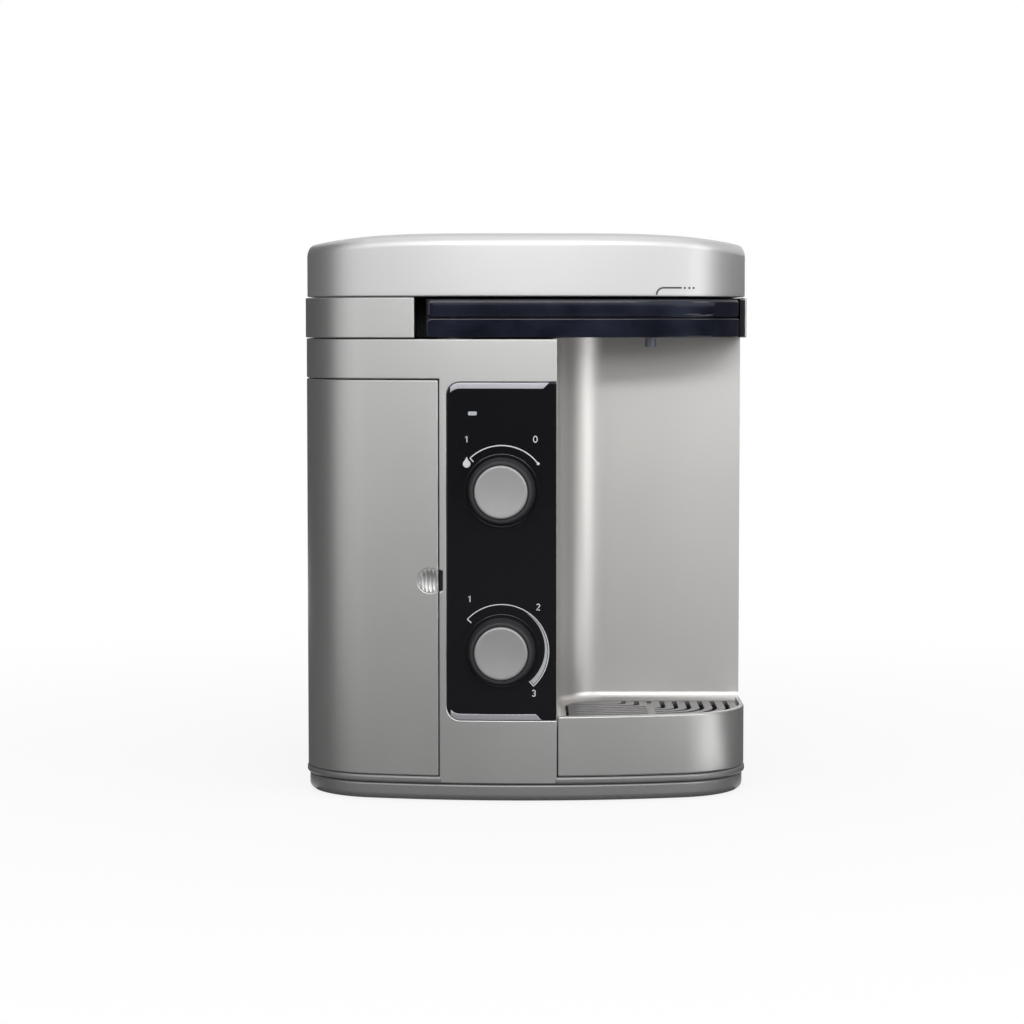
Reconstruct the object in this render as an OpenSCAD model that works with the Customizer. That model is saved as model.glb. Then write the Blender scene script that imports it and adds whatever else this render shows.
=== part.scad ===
// Counter-top water purifier with a swing-out spout, two turning knobs, a filter door and a drip tray.
// Millimetres, +Z up, the bowed front faces -Y and the feet stand on z = 0.

/* [Cabinet] */
// Overall width of the cabinet
body_w = 310; // [304:1:330]
// Depth from the middle of the bowed front to the rear plane
body_d = 345; // [343:1:375]
// Radius of the bowed front seen from above
front_r = 450; // [400:10:600]
// Radius of the two front corners
corner_r = 60; // [56:1:64]
// Radius of the two rear corners
rear_r = 24; // [18:1:28]
// Wall thickness of the moulded shells
wall = 3; // [2.6:0.1:3.4]
// Seam between neighbouring shells
seam = 0.6; // [0.4:0.1:0.8]
// How far the panels lie inside the band and the sill bead
panel_inset = 0.6; // [0.2:0.1:1.2]

/* [Heights] */
// Height of the rubber feet below the base
foot_h = 3; // [2:0.5:6]
// Height of the base ring
base_h = 10; // [9:0.5:14]
// Height of the sill bead on the base ring
sill_h = 5; // [4:0.5:8]
// Height of the filter door opening
door_h = 273; // [268:1:300]
// Height of the head strip between the door and the band
head_h = 28; // [26:1:40]
// Height of the band that the spout arm lies in
band_h = 28; // [26:1:34]
// Height of the lid above the band
lid_h = 48; // [42:1:60]

/* [Lid] */
// How far the lid lies inside the band
lid_inset = 1.2; // [0.6:0.1:2]
// Rise of the crown above the edge of the lid
crown_h = 13; // [8:0.5:16]
// How far the crown reaches in from the edge
crown_run = 130; // [100:1:140]

/* [Dispensing bay] */
// Left face of the bay, which is the right edge of the control column
bay_x = 21; // [18:1:26]
// Depth of the bay behind the middle of the front
bay_d = 118; // [114:1:122]
// Radius of the rounded inner corner of the bay
bay_r = 37; // [30:1:42]
// Radius of the cove along the foot of the bay
cove_r = 7; // [5:0.5:9]

/* [Drip tray] */
// Height of the front wall of the tray
tray_h = 42; // [36:1:50]
// Wall and floor thickness of the tray
tray_wall = 2.5; // [2:0.1:3]
// How far the top of the grille lies below the rim
grille_drop = 3; // [2:0.5:5]
// Thickness of the grille plate
grille_t = 2.4; // [2:0.1:3]
// Distance from one grille slot to the next
slot_pitch = 9.1; // [8.5:0.1:10]
// Width of a grille slot
slot_w = 3.4; // [2.4:0.1:4]
// Width of the grille spoke
spoke_w = 5.5; // [4:0.5:8]

/* [Control column] */
// Left edge of the control column
column_x = -60; // [-62:1:-57]
// Height of the fascia foot above the foot of the door
fascia_rise = 39.5; // [36:0.5:46]
// Radius of the left corners of the fascia
fascia_r = 9; // [6:0.5:12]
// Thickness of the fascia plate
fascia_t = 2; // [1.4:0.1:2.4]
// Height of the bright trim strips
trim_h = 4.2; // [3:0.1:6]
// Middle of the knobs, left of the cabinet middle
knob_x = -17; // [-20:0.5:-14]
// Distance of the tap knob below the top of the fascia
tap_drop = 74; // [68:1:82]
// Distance of the temperature knob above the foot of the fascia
temp_rise = 47.5; // [42:0.5:56]
// Radius of the knob collar at its foot
collar_r = 23; // [20:0.5:25]
// Radius of the bright knob cap
cap_r = 18.2; // [15:0.1:18.6]
// How far the knobs stand out of the fascia
knob_out = 15; // [13:0.5:20]

/* [Spout arm] */
// Left end of the spout arm
arm_x = -68.4; // [-70:0.2:-66]
// Depth of the spout arm behind the middle of the front
arm_d = 58; // [54:1:60]
// Pivot of the arm, to the right of its left end
pivot_in = 20; // [19:0.5:22]
// Pivot of the arm, behind the middle of the front
pivot_d = 22; // [21:0.5:24]
// Middle of the nozzle, right of the cabinet middle
nozzle_x = 86; // [80:1:100]
// Middle of the nozzle, behind the middle of the front
nozzle_d = 34; // [30:1:40]
// Radius of the nozzle
nozzle_r = 4; // [3.5:0.1:5]
// How far the nozzle hangs below the arm
nozzle_drop = 7; // [5:0.5:9]
// Thickness of the tinted lens strips
lens_t = 2.8; // [2:0.1:3.4]

/* [Filter] */
// Radius of the filter cartridge
filter_r = 34; // [28:1:36]
// Length of the filter cartridge below its head
filter_l = 206; // [180:1:210]

/* [Cold tank] */
// Radius of the cold tank
tank_r = 50; // [42:1:52]
// Height of the cold tank
tank_h = 176; // [150:1:190]
// Thickness of the foam around the tank
foam = 19; // [16:1:20]
// Room for the hoses between the foam and the deck
hose_room = 33.3; // [32:0.1:36]

/* [Fan] */
// Side of the square fan housing
fan_w = 80; // [70:1:92]
// Depth of the fan housing
fan_t = 25; // [20:1:26]

/* [Hidden] */
$fn = 96;
gap = 0.4;
run_fit = 0.05;
band_gap = 8.4;

// Levels
z_base = foot_h;
z_sill = z_base + base_h;
z_door = z_sill + sill_h;
z_head = z_door + door_h;
z_band = z_head + head_h;
z_lid = z_band + band_h + seam;
z_edge = z_lid + lid_h - crown_h;
z_tray = z_door + tray_h;
z_grille = z_tray - grille_drop;
z_deck = z_band - seam / 2 - gap;
deck_t = 2.6;
z_under = z_deck - deck_t;
base_t = 3;
z_floor = z_base + base_t;

// Plan, set so that the box of the whole part is centred on the origin
knob_turn = asin(knob_x / front_r);
inlet_out = 12;
knob_front = (front_r - panel_inset + knob_out) * cos(knob_turn) + cap_r * abs(sin(knob_turn));
front_y = -round(50 * (front_r - knob_front + body_d + inlet_out)) / 100;
rear_y = front_y + body_d;
arc_y = front_y + front_r;
half_w = body_w / 2;
skin = panel_inset + wall;
bay_y = front_y + bay_d;
bay_cx = bay_x + bay_r;
bay_cy = bay_y - bay_r;
bay_top = z_band + seam / 2 - gap;

function c_r(i) = max(corner_r - i, 6);
function c_x(i) = half_w - i - c_r(i);
function c_y(i) = arc_y - sqrt(pow(front_r - i - c_r(i), 2) - pow(c_x(i), 2));
function c_turn(i) = asin(c_x(i) / (front_r - i - c_r(i)));
function r_r(i) = max(rear_r - i, 2);
function arc_at(x, i) = arc_y - sqrt(pow(front_r - i, 2) - x * x);

// Door hinge
hinge_r = 5;
hinge_x = -half_w + panel_inset + hinge_r;
hinge_y = front_y + 108;
pin_r = 1.9;
door_x = column_x - seam;
side_y = hinge_y + hinge_r + seam;

// Filter compartment
liner_t = 2;
liner_y = side_y + 1;
filter_x = (-half_w + skin + column_x) / 2 + 2;
filter_y = front_y + 62;
z_head_foot = z_head - 33;
z_filter = z_head_foot - filter_l;
neck_r = 17;
port_dx = 14;
port_r = 4;
port_z = z_head_foot + 24;

// Fascia
fascia_z0 = z_door + fascia_rise;
fascia_z1 = z_head - 2;
fascia_x0 = column_x + 5.4;
fascia_x1 = bay_x - gap;
tap_z = fascia_z1 - tap_drop;
temp_z = fascia_z0 + temp_rise;
led_x = knob_x - 20;
led_z = fascia_z1 - 21;
led_w = 6.2;
led_h = 2.8;
spindle_r = 4;
seat_w = 0.9;
spindle_end = 8;
neck_hole = 7;
bracket_w = 10.2;
bracket_t = 2;
board_w = bracket_w + bracket_t + 0.3;
board_l = 56;
board_h = 22;
board_t = 1.6;
led_l = 7;
valve_w = bracket_w + bracket_t + 0.2;
valve_r = 15;
valve_l = 30;
barb_r = 3.2;
tube_r = 2.8;
hose_lead = 4;
hose_gap = 0.5;
tee_branch = 15;
port_l = 10;
branch_dx = 8;

// Arm and band
arm_z0 = z_band + 0.7;
arm_z1 = z_lid - 1.4;
arm_mid = (arm_z0 + arm_z1) / 2;
arm_floor = 2.5;
arm_cover_t = 2.6;
arm_inset = 0.3;
pivot_x = arm_x + pivot_in;
pivot_y = front_y + pivot_d;
recess_x = arm_x - band_gap;
recess_y = front_y + arm_d + 6.5;
lens_x1 = half_w - 6.6;
pivot_r = 6;
bush_r = 9;
nozzle_y = front_y + nozzle_d;

// Tray
tray_z0 = z_door + seam / 2;
tray_fit = 1.4;
tray_x = bay_x + cove_r + tray_fit;
tray_y = bay_y - cove_r - tray_fit;
tray_r = bay_r - cove_r - tray_fit;
seat_z = z_grille - grille_t - 0.2;
ledge_z = z_grille - 1;

// Cold side and its heat sink
tank_x = 62;
tank_y = bay_y + wall + 3 + tank_r + foam;
foam_w = tank_r + foam;
foam_top = z_under - hose_room;
z_tank = foam_top - foam - tank_h;
z_stand = z_tank - foam - 0.4;
cold_z = z_tank + tank_h / 2;
cold_w = 40;
foam_y = tank_y + foam_w;
pelt_t = 4;
sink_y = foam_y + pelt_t + 0.4;
sink_base = 6;
sink_w = 92;
sink_h = 116;
fin_l = 30;
fin_n = 11;
cover_y = rear_y - skin;
fan_y = cover_y - fan_t - 0.2;
fan_bore = fan_w / 2 - 2;
rotor_r = fan_bore - 1.5;
hub_r = 16;
axle_r = 2;
port_top = foam_top + 8;
tank_port = 20;

// Rear fittings
post_x = half_w - rear_r - 8;
post_w = 12;
nipple_r = 6.5;
neck_in_r = 6;
inlet_tail = 20;
flange_t = 3.1;
gland_x = -post_x + post_w / 2 + nipple_r + 16.5;
inlet_x = gland_x + 34;
inlet_z = z_floor + 58;
screw_r = 1.5;
screw_head_r = 3.4;
screw_head_t = 2.2;
drive_l = 4.8;
drive_w = 0.8;
cord_r = 3.6;
foot_r = 10;
foot_pin_r = 4;
vent_pitch = 8.4;
vent_h = 3.6;
outer_y = rear_y - panel_inset;

// Outline of the cabinet, set in by i
module plan(i = 0) {
    tx = (front_r - i) * sin(c_turn(i));
    side = half_w - i;
    back = rear_y - i - r_r(i);
    lap = 10;
    intersection() {
        translate([0, arc_y]) circle(front_r - i, $fn = 360);
        translate([-tx, front_y]) square([2 * tx, c_y(i) - front_y + lap]);
    }
    for (s = [-1, 1]) translate([s * c_x(i), c_y(i)]) circle(c_r(i));
    translate([-side, c_y(i)]) square([2 * side, back - c_y(i)]);
    for (s = [-1, 1]) translate([s * (side - r_r(i)), back]) circle(r_r(i));
    translate([-side + r_r(i), back - lap]) square([2 * (side - r_r(i)), r_r(i) + lap]);
}

// Wall that follows the outline, from inset i inwards by t
module ring(i, t) {
    difference() {
        plan(i);
        plan(i + t);
    }
}

// Plan window between two X and two Y values
module window(x0, x1, y0, y1) {
    translate([x0, y0]) square([x1 - x0, y1 - y0]);
}

module slab(z0, z1) {
    translate([0, 0, z0]) linear_extrude(z1 - z0) children();
}

// Frame on the bowed front at the knobs: local +Z points out of the front
module on_front(z) {
    translate([0, arc_y, z])
        rotate(knob_turn)
            translate([0, -front_r + panel_inset, 0])
                rotate([90, 0, 0])
                    children();
}

// Plate cut from the bowed front by an XZ outline, from inset i inwards by t
module front_plate(i, t) {
    intersection() {
        slab(z_sill, z_band) ring(i, t);
        translate([0, front_y + 40, 0]) rotate([90, 0, 0]) linear_extrude(60) children();
    }
}

module box(x0, x1, y0, y1, z0, z1) {
    translate([x0, y0, z0]) cube([x1 - x0, y1 - y0, z1 - z0]);
}

module post(r, z0, z1) {
    translate([0, 0, z0]) cylinder(r = r, h = z1 - z0);
}

// Round bar along +Y
module bar_y(x, y0, y1, z, r) {
    translate([x, y0, z]) rotate([-90, 0, 0]) cylinder(r = r, h = y1 - y0);
}

// Swept hose: a smooth curve through route points, with a round section
function unit(v) = v / norm(v);
function pace(p, k) =
    let (a = p[max(k - 1, 0)], b = p[k], c = p[min(k + 1, len(p) - 1)])
    unit(c - a) * (a == b ? norm(c - b) : b == c ? norm(b - a) : min(norm(b - a), norm(c - b)));
function blend(a, a_pace, b, b_pace, t) =
    (1 + 2 * t) * (1 - t) * (1 - t) * a + t * (1 - t) * (1 - t) * a_pace +
    t * t * (3 - 2 * t) * b - t * t * (1 - t) * b_pace;
function smooth(p, n = 5) = concat(
    [for (k = [0 : len(p) - 2]) for (j = [0 : n - 1])
        blend(p[k], pace(p, k), p[k + 1], pace(p, k + 1), j / n)],
    [p[len(p) - 1]]);
function headings(p) =
    [for (k = [0 : len(p) - 1]) unit(p[min(k + 1, len(p) - 1)] - p[max(k - 1, 0)])];
function first_normal(t) = unit(cross(t, abs(t[2]) < 0.9 ? [0, 0, 1] : [1, 0, 0]));
function normals(t, k = 0, acc = []) =
    k == len(t) ? acc :
    normals(t, k + 1, concat(acc, [k == 0 ? first_normal(t[0]) :
        unit(acc[k - 1] - (acc[k - 1] * t[k]) * t[k])]));

module hose(route, r, sides = 10) {
    path = smooth(route);
    t = headings(path);
    n = normals(t);
    count = len(path);
    points = [for (k = [0 : count - 1]) for (j = [0 : sides - 1])
        path[k] + r * (cos(360 * j / sides) * n[k] + sin(360 * j / sides) * cross(t[k], n[k]))];
    sleeve = [for (k = [0 : count - 2]) for (j = [0 : sides - 1])
        [(k + 1) * sides + j, (k + 1) * sides + (j + 1) % sides,
         k * sides + (j + 1) % sides, k * sides + j]];
    tail = [for (j = [0 : sides - 1]) j];
    tip = [for (j = [0 : sides - 1]) count * sides - 1 - j];
    polyhedron(points, concat(sleeve, [tail], [tip]));
}

// Points of the outline, set in by i, for the lofted lid
function arc_points(x, y, r, a0, a1, n) =
    [for (k = [0 : n]) [x + r * cos(a0 + (a1 - a0) * k / n), y + r * sin(a0 + (a1 - a0) * k / n)]];
function lid_cr(i) = corner_r - 0.4 * i;
function lid_cx(i) = half_w - i - lid_cr(i);
function lid_turn(i) = asin(lid_cx(i) / (front_r - i - lid_cr(i)));
function lid_cy(i) = arc_y - (front_r - i - lid_cr(i)) * cos(lid_turn(i));
function lid_rr(i) = rear_r + 0.5 * i;
function lid_ry(i) = rear_y - i - lid_rr(i);
function outline(i) = concat(
    arc_points(0, arc_y, front_r - i, -90 - lid_turn(i), -90 + lid_turn(i), 14),
    arc_points(lid_cx(i), lid_cy(i), lid_cr(i), -89 + lid_turn(i), 0, 11),
    arc_points(half_w - i - lid_rr(i), lid_ry(i), lid_rr(i), 0, 90, 7),
    arc_points(-half_w + i + lid_rr(i), lid_ry(i), lid_rr(i), 90, 180, 7),
    arc_points(-lid_cx(i), lid_cy(i), lid_cr(i), 180, 269 - lid_turn(i), 11));

// Domed crown of the lid: the outline shrinks to the middle as it rises
crown_p = 2.2;
crown_n = 12;
dome_y = (front_y + rear_y) / 2;
dome_share = min(crown_run / half_w, 0.95);
function crown(u) = crown_h * pow(1 - pow(1 - u, crown_p), 1 / crown_p);
function dome_ring(i, z, share) =
    [for (p = outline(i)) [p[0] * (1 - share), dome_y + (p[1] - dome_y) * (1 - share), z]];
function dome(i, drop) = [for (k = [0 : crown_n])
    let (u = pow(k / crown_n, 2)) dome_ring(i, z_edge - drop + crown(u), u * dome_share)];
outer_rings = concat([dome_ring(lid_inset, z_lid, 0)], dome(lid_inset, 0));
inner_rings = concat([dome_ring(lid_inset + wall, z_lid, 0)], dome(lid_inset + wall, wall));
lid_rings = concat([for (k = [len(inner_rings) - 1 : -1 : 0]) inner_rings[k]], outer_rings);

module lid() {
    n = len(lid_rings[0]);
    m = len(lid_rings);
    points = [for (k = lid_rings) for (p = k) p];
    skins = [for (k = [0 : m - 2]) for (j = [0 : n - 1])
        [k * n + j, (k + 1) * n + j, (k + 1) * n + (j + 1) % n, k * n + (j + 1) % n]];
    top = [for (j = [0 : n - 1]) (m - 1) * n + n - 1 - j];
    under = [for (j = [0 : n - 1]) j];
    color([0.78, 0.78, 0.78]) polyhedron(points, concat(skins, [top], [under]));
}

// Plate that closes the lid over the arm recess
module lid_soffit() {
    color([0.55, 0.55, 0.56])
        slab(z_lid + 0.2, z_lid + 2.2)
            intersection() {
                polygon(outline(lid_inset + wall + gap));
                window(recess_x - 6, half_w, front_y, recess_y + 8);
            }
}

module recess(grow) {
    window(recess_x - grow, half_w + 1, front_y - 1, recess_y + grow);
}

// Band round the top, with the arm recess and the ceiling of the bay behind it
module top_band() {
    color([0.72, 0.72, 0.72]) {
        slab(z_band + seam / 2, z_lid - seam)
            difference() {
                difference() {
                    plan(0);
                    recess(0);
                }
                difference() {
                    plan(wall);
                    recess(wall);
                }
            }
        slab(z_band + seam / 2, z_band + seam / 2 + wall)
            intersection() {
                plan(wall / 2);
                window(bay_x - wall, half_w, recess_y + wall / 2, bay_y + wall + 2);
            }
    }
}

// Deck on top of the cabinet, open under the arm over the bay
module deck() {
    color([0.3, 0.3, 0.31])
        slab(z_under, z_deck)
            difference() {
                plan(skin + gap);
                window(bay_x - wall - gap, half_w, front_y, bay_y + wall + gap);
                translate([pivot_x, pivot_y]) circle(bush_r + run_fit);
            }
}

module spindle_bush() {
    color([0.85, 0.85, 0.82])
        translate([pivot_x, pivot_y, 0])
            difference() {
                union() {
                    post(bush_r, z_under - 8, z_deck + 0.3);
                    post(bush_r + 4, z_deck + 0.1, arm_z0 - 0.3);
                }
                post(pivot_r + run_fit, z_under - 9, arm_z0 + 1);
            }
}

module spout_spindle() {
    color([0.8, 0.8, 0.82])
        translate([pivot_x, pivot_y, 0])
            difference() {
                post(pivot_r, z_under - 10, arm_z0 + arm_floor + 12);
                post(pivot_r - 2.6, z_under - 11, arm_z0 + arm_floor + 8);
            }
}

module arm_plan(i = 0) {
    round = 16;
    intersection() {
        plan(arm_inset + i);
        union() {
            window(arm_x + i, half_w, front_y, front_y + arm_d - round);
            window(arm_x + round, half_w, front_y, front_y + arm_d - i);
            translate([arm_x + round, front_y + arm_d - round]) circle(round - i);
        }
    }
}

module lens_plan(grow = 0) {
    intersection() {
        ring(arm_inset, lens_t + grow);
        window(arm_x, lens_x1 + grow, front_y, front_y + arm_d);
    }
}

module arm_body() {
    color([0.06, 0.06, 0.07])
        difference() {
            union() {
                slab(arm_z0, arm_z0 + arm_floor)
                    difference() {
                        arm_plan(0);
                        lens_plan(0.2);
                    }
                slab(arm_z0, arm_z1 - arm_cover_t - 0.2)
                    difference() {
                        arm_plan(0);
                        arm_plan(lens_t + 2.4);
                        lens_plan(0.2);
                    }
                translate([pivot_x, pivot_y, 0]) post(pivot_r + 4, arm_z0, arm_z0 + 6);
            }
            translate([pivot_x, pivot_y, 0]) post(pivot_r + run_fit, arm_z0 - 1, arm_z0 + 20);
            translate([nozzle_x, nozzle_y, 0]) post(nozzle_r + run_fit, arm_z0 - 1, arm_z0 + 20);
        }
}

module arm_cover() {
    color([0.06, 0.06, 0.07])
        slab(arm_z1 - arm_cover_t, arm_z1)
            difference() {
                arm_plan(0);
                lens_plan(0.2);
            }
}

module arm_lens_upper() {
    color([0.08, 0.1, 0.2]) slab(arm_mid + 0.3, arm_z1 - 0.2) lens_plan();
}

module arm_lens_lower() {
    color([0.08, 0.1, 0.2]) slab(arm_z0 + 0.2, arm_mid - 0.3) lens_plan();
}

module spout_nozzle() {
    color([0.35, 0.36, 0.4])
        translate([nozzle_x, nozzle_y, 0])
            difference() {
                union() {
                    post(nozzle_r, arm_z0 - nozzle_drop, arm_z0 + arm_floor + 4);
                    post(nozzle_r + 2.5, arm_z0 + arm_floor + 0.1, arm_z0 + arm_floor + 2);
                }
                post(nozzle_r - 1.4, arm_z0 - nozzle_drop - 1, arm_z0 + arm_floor + 3);
            }
}

module arm_tube() {
    x0 = pivot_x + pivot_r + 0.2;
    z0 = arm_z0 + arm_floor + 6;
    top = arm_z0 + arm_floor + 4 + hose_gap;
    color([0.9, 0.92, 0.94])
        hose([[x0, pivot_y, z0 + 1], [x0 + 14, pivot_y + 2, z0 + 1],
            [nozzle_x - 34, nozzle_y, z0 + 4], [nozzle_x - 10, nozzle_y, z0 + 7],
            [nozzle_x, nozzle_y, top + 2 * hose_lead], [nozzle_x, nozzle_y, top + hose_lead],
            [nozzle_x, nozzle_y, top]], tube_r);
}

module fascia_outline() {
    difference() {
        window(fascia_x0, fascia_x1, fascia_z0, fascia_z1);
        for (s = [0, 1])
            translate([fascia_x0, s == 0 ? fascia_z0 : fascia_z1 - fascia_r])
                difference() {
                    translate([-1, s - 1]) square([fascia_r + 1, fascia_r + 1]);
                    translate([fascia_r, s == 0 ? fascia_r : 0]) circle(fascia_r);
                }
    }
}

module trim_outline(top) {
    shift = top ? -trim_h : trim_h;
    foot = top ? fascia_z1 : fascia_z0;
    end_x = fascia_x1 - (top ? 5 : 10);
    intersection() {
        difference() {
            fascia_outline();
            translate([0, shift]) fascia_outline();
            window(fascia_x0 - 1, fascia_x0 + 1.6, fascia_z0, fascia_z1);
        }
        polygon([[fascia_x0 - 1, foot - 20], [end_x - 20, foot - 20],
            [end_x, foot], [end_x + 20, foot + 20], [fascia_x0 - 1, foot + 20]]);
    }
}

module fascia() {
    color([0.04, 0.04, 0.05])
        difference() {
            front_plate(panel_inset, fascia_t) fascia_outline();
            front_plate(panel_inset - 1, 1 + 1.1) trim_outline(true);
            front_plate(panel_inset - 1, 1 + 1.1) trim_outline(false);
            for (z = [tap_z, temp_z])
                on_front(z) {
                    translate([0, 0, -9]) cylinder(r = neck_hole, h = 12);
                    translate([0, 0, -seat_w]) cylinder(r = collar_r + 1.6, h = 4);
                }
            box(led_x - led_w / 2 - 0.1, led_x + led_w / 2 + 0.1, front_y - 2, front_y + 9,
                led_z - led_h / 2 - 0.1, led_z + led_h / 2 + 0.1);
        }
}

module fascia_trims() {
    color([0.8, 0.8, 0.84]) {
        front_plate(panel_inset, 1) trim_outline(true);
        front_plate(panel_inset, 1) trim_outline(false);
    }
}

module led_lens() {
    color([0.95, 0.96, 1])
        intersection() {
            slab(z_sill, z_band) ring(panel_inset, led_l);
            box(led_x - led_w / 2, led_x + led_w / 2, front_y - 2, front_y + 9,
                led_z - led_h / 2, led_z + led_h / 2);
        }
}

module front_panel() {
    color([0.7, 0.7, 0.7])
        difference() {
            union() {
                slab(z_sill + seam / 2, z_band - seam / 2)
                    intersection() {
                        ring(panel_inset, wall);
                        window(column_x, bay_x, front_y, front_y + 30);
                    }
                slab(z_head + seam / 2, z_band - seam / 2)
                    intersection() {
                        ring(panel_inset, wall);
                        window(-half_w, column_x + 1, front_y, side_y - seam);
                    }
                translate([hinge_x, hinge_y, 0]) post(hinge_r, z_head + seam / 2, z_head + 6);
                for (z = [tap_z + 24, temp_z - 24]) for (s = [-1, 1])
                    on_front(z) translate([s * 24, 0, -bracket_w + 0.1]) cylinder(r = 4, h = bracket_w - 1.6);
            }
            front_plate(panel_inset - 1, 1 + fascia_t + 0.1) pocket_outline();
            for (z = [tap_z, temp_z]) on_front(z) translate([0, 0, -9]) cylinder(r = neck_hole, h = 12);
            box(led_x - led_w / 2 - 0.1, led_x + led_w / 2 + 0.1, front_y - 2, front_y + 9,
                led_z - led_h / 2 - 0.1, led_z + led_h / 2 + 0.1);
            translate([hinge_x, hinge_y, 0]) post(pin_r + 0.02, z_head - 1, z_head + 7);
        }
}

module pocket_outline() {
    window(fascia_x0 + fascia_r, bay_x + 2, fascia_z0 - 0.2, fascia_z1 + 0.2);
    window(fascia_x0 - 0.2, bay_x, fascia_z0 + fascia_r, fascia_z1 - fascia_r);
    translate([fascia_x0 + fascia_r, fascia_z0 + fascia_r]) circle(fascia_r + 0.2);
    translate([fascia_x0 + fascia_r, fascia_z1 - fascia_r]) circle(fascia_r + 0.2);
}

module control_board() {
    color([0.1, 0.35, 0.2])
        on_front(led_z) {
            translate([-board_l / 2, -board_h / 2, -board_w - board_t]) cube([board_l, board_h, board_t]);
            translate([led_x - knob_x - 2, -1, -board_w - 0.1]) cube([4, 2, board_w - led_l - 0.6]);
            translate([4, -6, -board_w - board_t - 3]) cube([16, 12, 3.1]);
        }
}

module valve_bracket() {
    color([0.6, 0.61, 0.62])
        difference() {
            on_front(temp_z) translate([-29, -30, -bracket_w - bracket_t])
                cube([58, led_z - temp_z + 43, bracket_t]);
            on_front(led_z) translate([led_x - knob_x - 4, -4, -20]) cube([8, 8, 18]);
            for (z = [tap_z, temp_z]) on_front(z) translate([0, 0, -20]) cylinder(r = neck_hole, h = 18);
        }
}

// Valve body behind a knob, with a neck through the front and a bore for its spindle
module valve(z) {
    on_front(z)
        difference() {
            union() {
                translate([0, 0, -valve_w - valve_l]) cylinder(r = valve_r, h = valve_l);
                translate([0, 0, -valve_w - 1]) cylinder(r = neck_hole - 0.6, h = valve_w + 0.4);
                children();
            }
            translate([0, 0, -valve_w - valve_l + 4])
                cylinder(r = spindle_r + run_fit, h = valve_w + valve_l + 4);
        }
}

module tap_valve() {
    color([0.86, 0.86, 0.84])
        valve(tap_z) {
            for (s = [-1, 1])
                translate([0, 0, -valve_w - valve_l / 2]) rotate([s * 90, 0, 0])
                    cylinder(r = port_r, h = valve_r + port_l);
        }
}

module mixing_valve() {
    color([0.86, 0.86, 0.84])
        valve(temp_z) {
            translate([0, 0, -valve_w - valve_l / 2]) rotate([-90, 0, 0])
                cylinder(r = port_r, h = valve_r + port_l);
            for (s = [-1, 1])
                translate([s * branch_dx, 0, -valve_w - valve_l - port_l])
                    cylinder(r = port_r, h = port_l + 2);
        }
}

module spindle(z) {
    color([0.78, 0.7, 0.45])
        on_front(z)
            translate([0, 0, -valve_w - valve_l + 6])
                cylinder(r = spindle_r, h = valve_w + valve_l - 6 + spindle_end);
}

module collar(z) {
    foot = 0.5 - seat_w;
    color([0.18, 0.18, 0.19])
        on_front(z)
            difference() {
                translate([0, 0, foot])
                    cylinder(r1 = collar_r, r2 = collar_r - 1.6, h = knob_out - 2.4 - foot);
                translate([0, 0, foot - 1]) cylinder(r = spindle_r + run_fit, h = spindle_end + 1.3 - foot);
                translate([0, 0, knob_out - 5]) cylinder(r = cap_r + 0.3, h = 6);
            }
}

// Bright cap with a rounded rim and a dished face
module cap(z) {
    t = 4.8;
    dish = 60;
    color([0.72, 0.72, 0.73])
        on_front(z)
            translate([0, 0, knob_out - t])
                difference() {
                    rotate_extrude()
                        difference() {
                            square([cap_r, t]);
                            translate([cap_r - 1.2, t - 1.2])
                                difference() {
                                    square([2, 2]);
                                    circle(1.2);
                                }
                        }
                    translate([0, 0, t + dish - 0.9]) sphere(r = dish, $fn = 192);
                }
}

module tap_spindle() { spindle(tap_z); }
module tap_collar() { collar(tap_z); }
module tap_cap() { cap(tap_z); }
module temp_spindle() { spindle(temp_z); }
module temp_collar() { collar(temp_z); }
module temp_cap() { cap(temp_z); }

// Left door round the corner, with a hinge barrel at the rear and a finger scoop at the front edge
scoop_z = z_door + door_h * 0.49;
scoop_r = 9;
scoop_in = 5.4;
scoop_ball = 14;
module scoop_ball() {
    y = arc_at(door_x - scoop_in, panel_inset);
    lift = sqrt(scoop_ball * scoop_ball - scoop_r * scoop_r);
    translate([door_x - scoop_in, y - lift + 0.1, scoop_z]) sphere(r = scoop_ball);
}

module filter_door() {
    y = arc_at(door_x, panel_inset);
    color([0.7, 0.7, 0.7])
        difference() {
            union() {
                slab(z_door + seam / 2, z_head - seam / 2) {
                    intersection() {
                        ring(panel_inset, wall);
                        window(-half_w, door_x, front_y, hinge_y);
                    }
                    translate([hinge_x, hinge_y]) circle(hinge_r);
                }
                slab(scoop_z - 14, scoop_z + 14)
                    intersection() {
                        ring(panel_inset + wall / 2, 6);
                        window(door_x - 20, door_x - 1.4, front_y, front_y + 30);
                    }
            }
            difference() {
                scoop_ball();
                for (k = [0 : 3])
                    box(door_x - 12.4 + 3.1 * k, door_x - 11.2 + 3.1 * k, y + 1.3, y + 9,
                        scoop_z - 10, scoop_z + 10);
            }
            translate([hinge_x, hinge_y, 0]) post(pin_r + run_fit, z_door, z_door + 11);
            translate([hinge_x, hinge_y, 0]) post(pin_r + run_fit, z_head - 11, z_head);
        }
}

module door_hinge_pins() {
    color([0.75, 0.75, 0.76])
        translate([hinge_x, hinge_y, 0]) {
            post(pin_r, z_sill + 0.6, z_door + 10);
            post(pin_r, z_head - 10, z_head + 6);
        }
}

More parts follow.
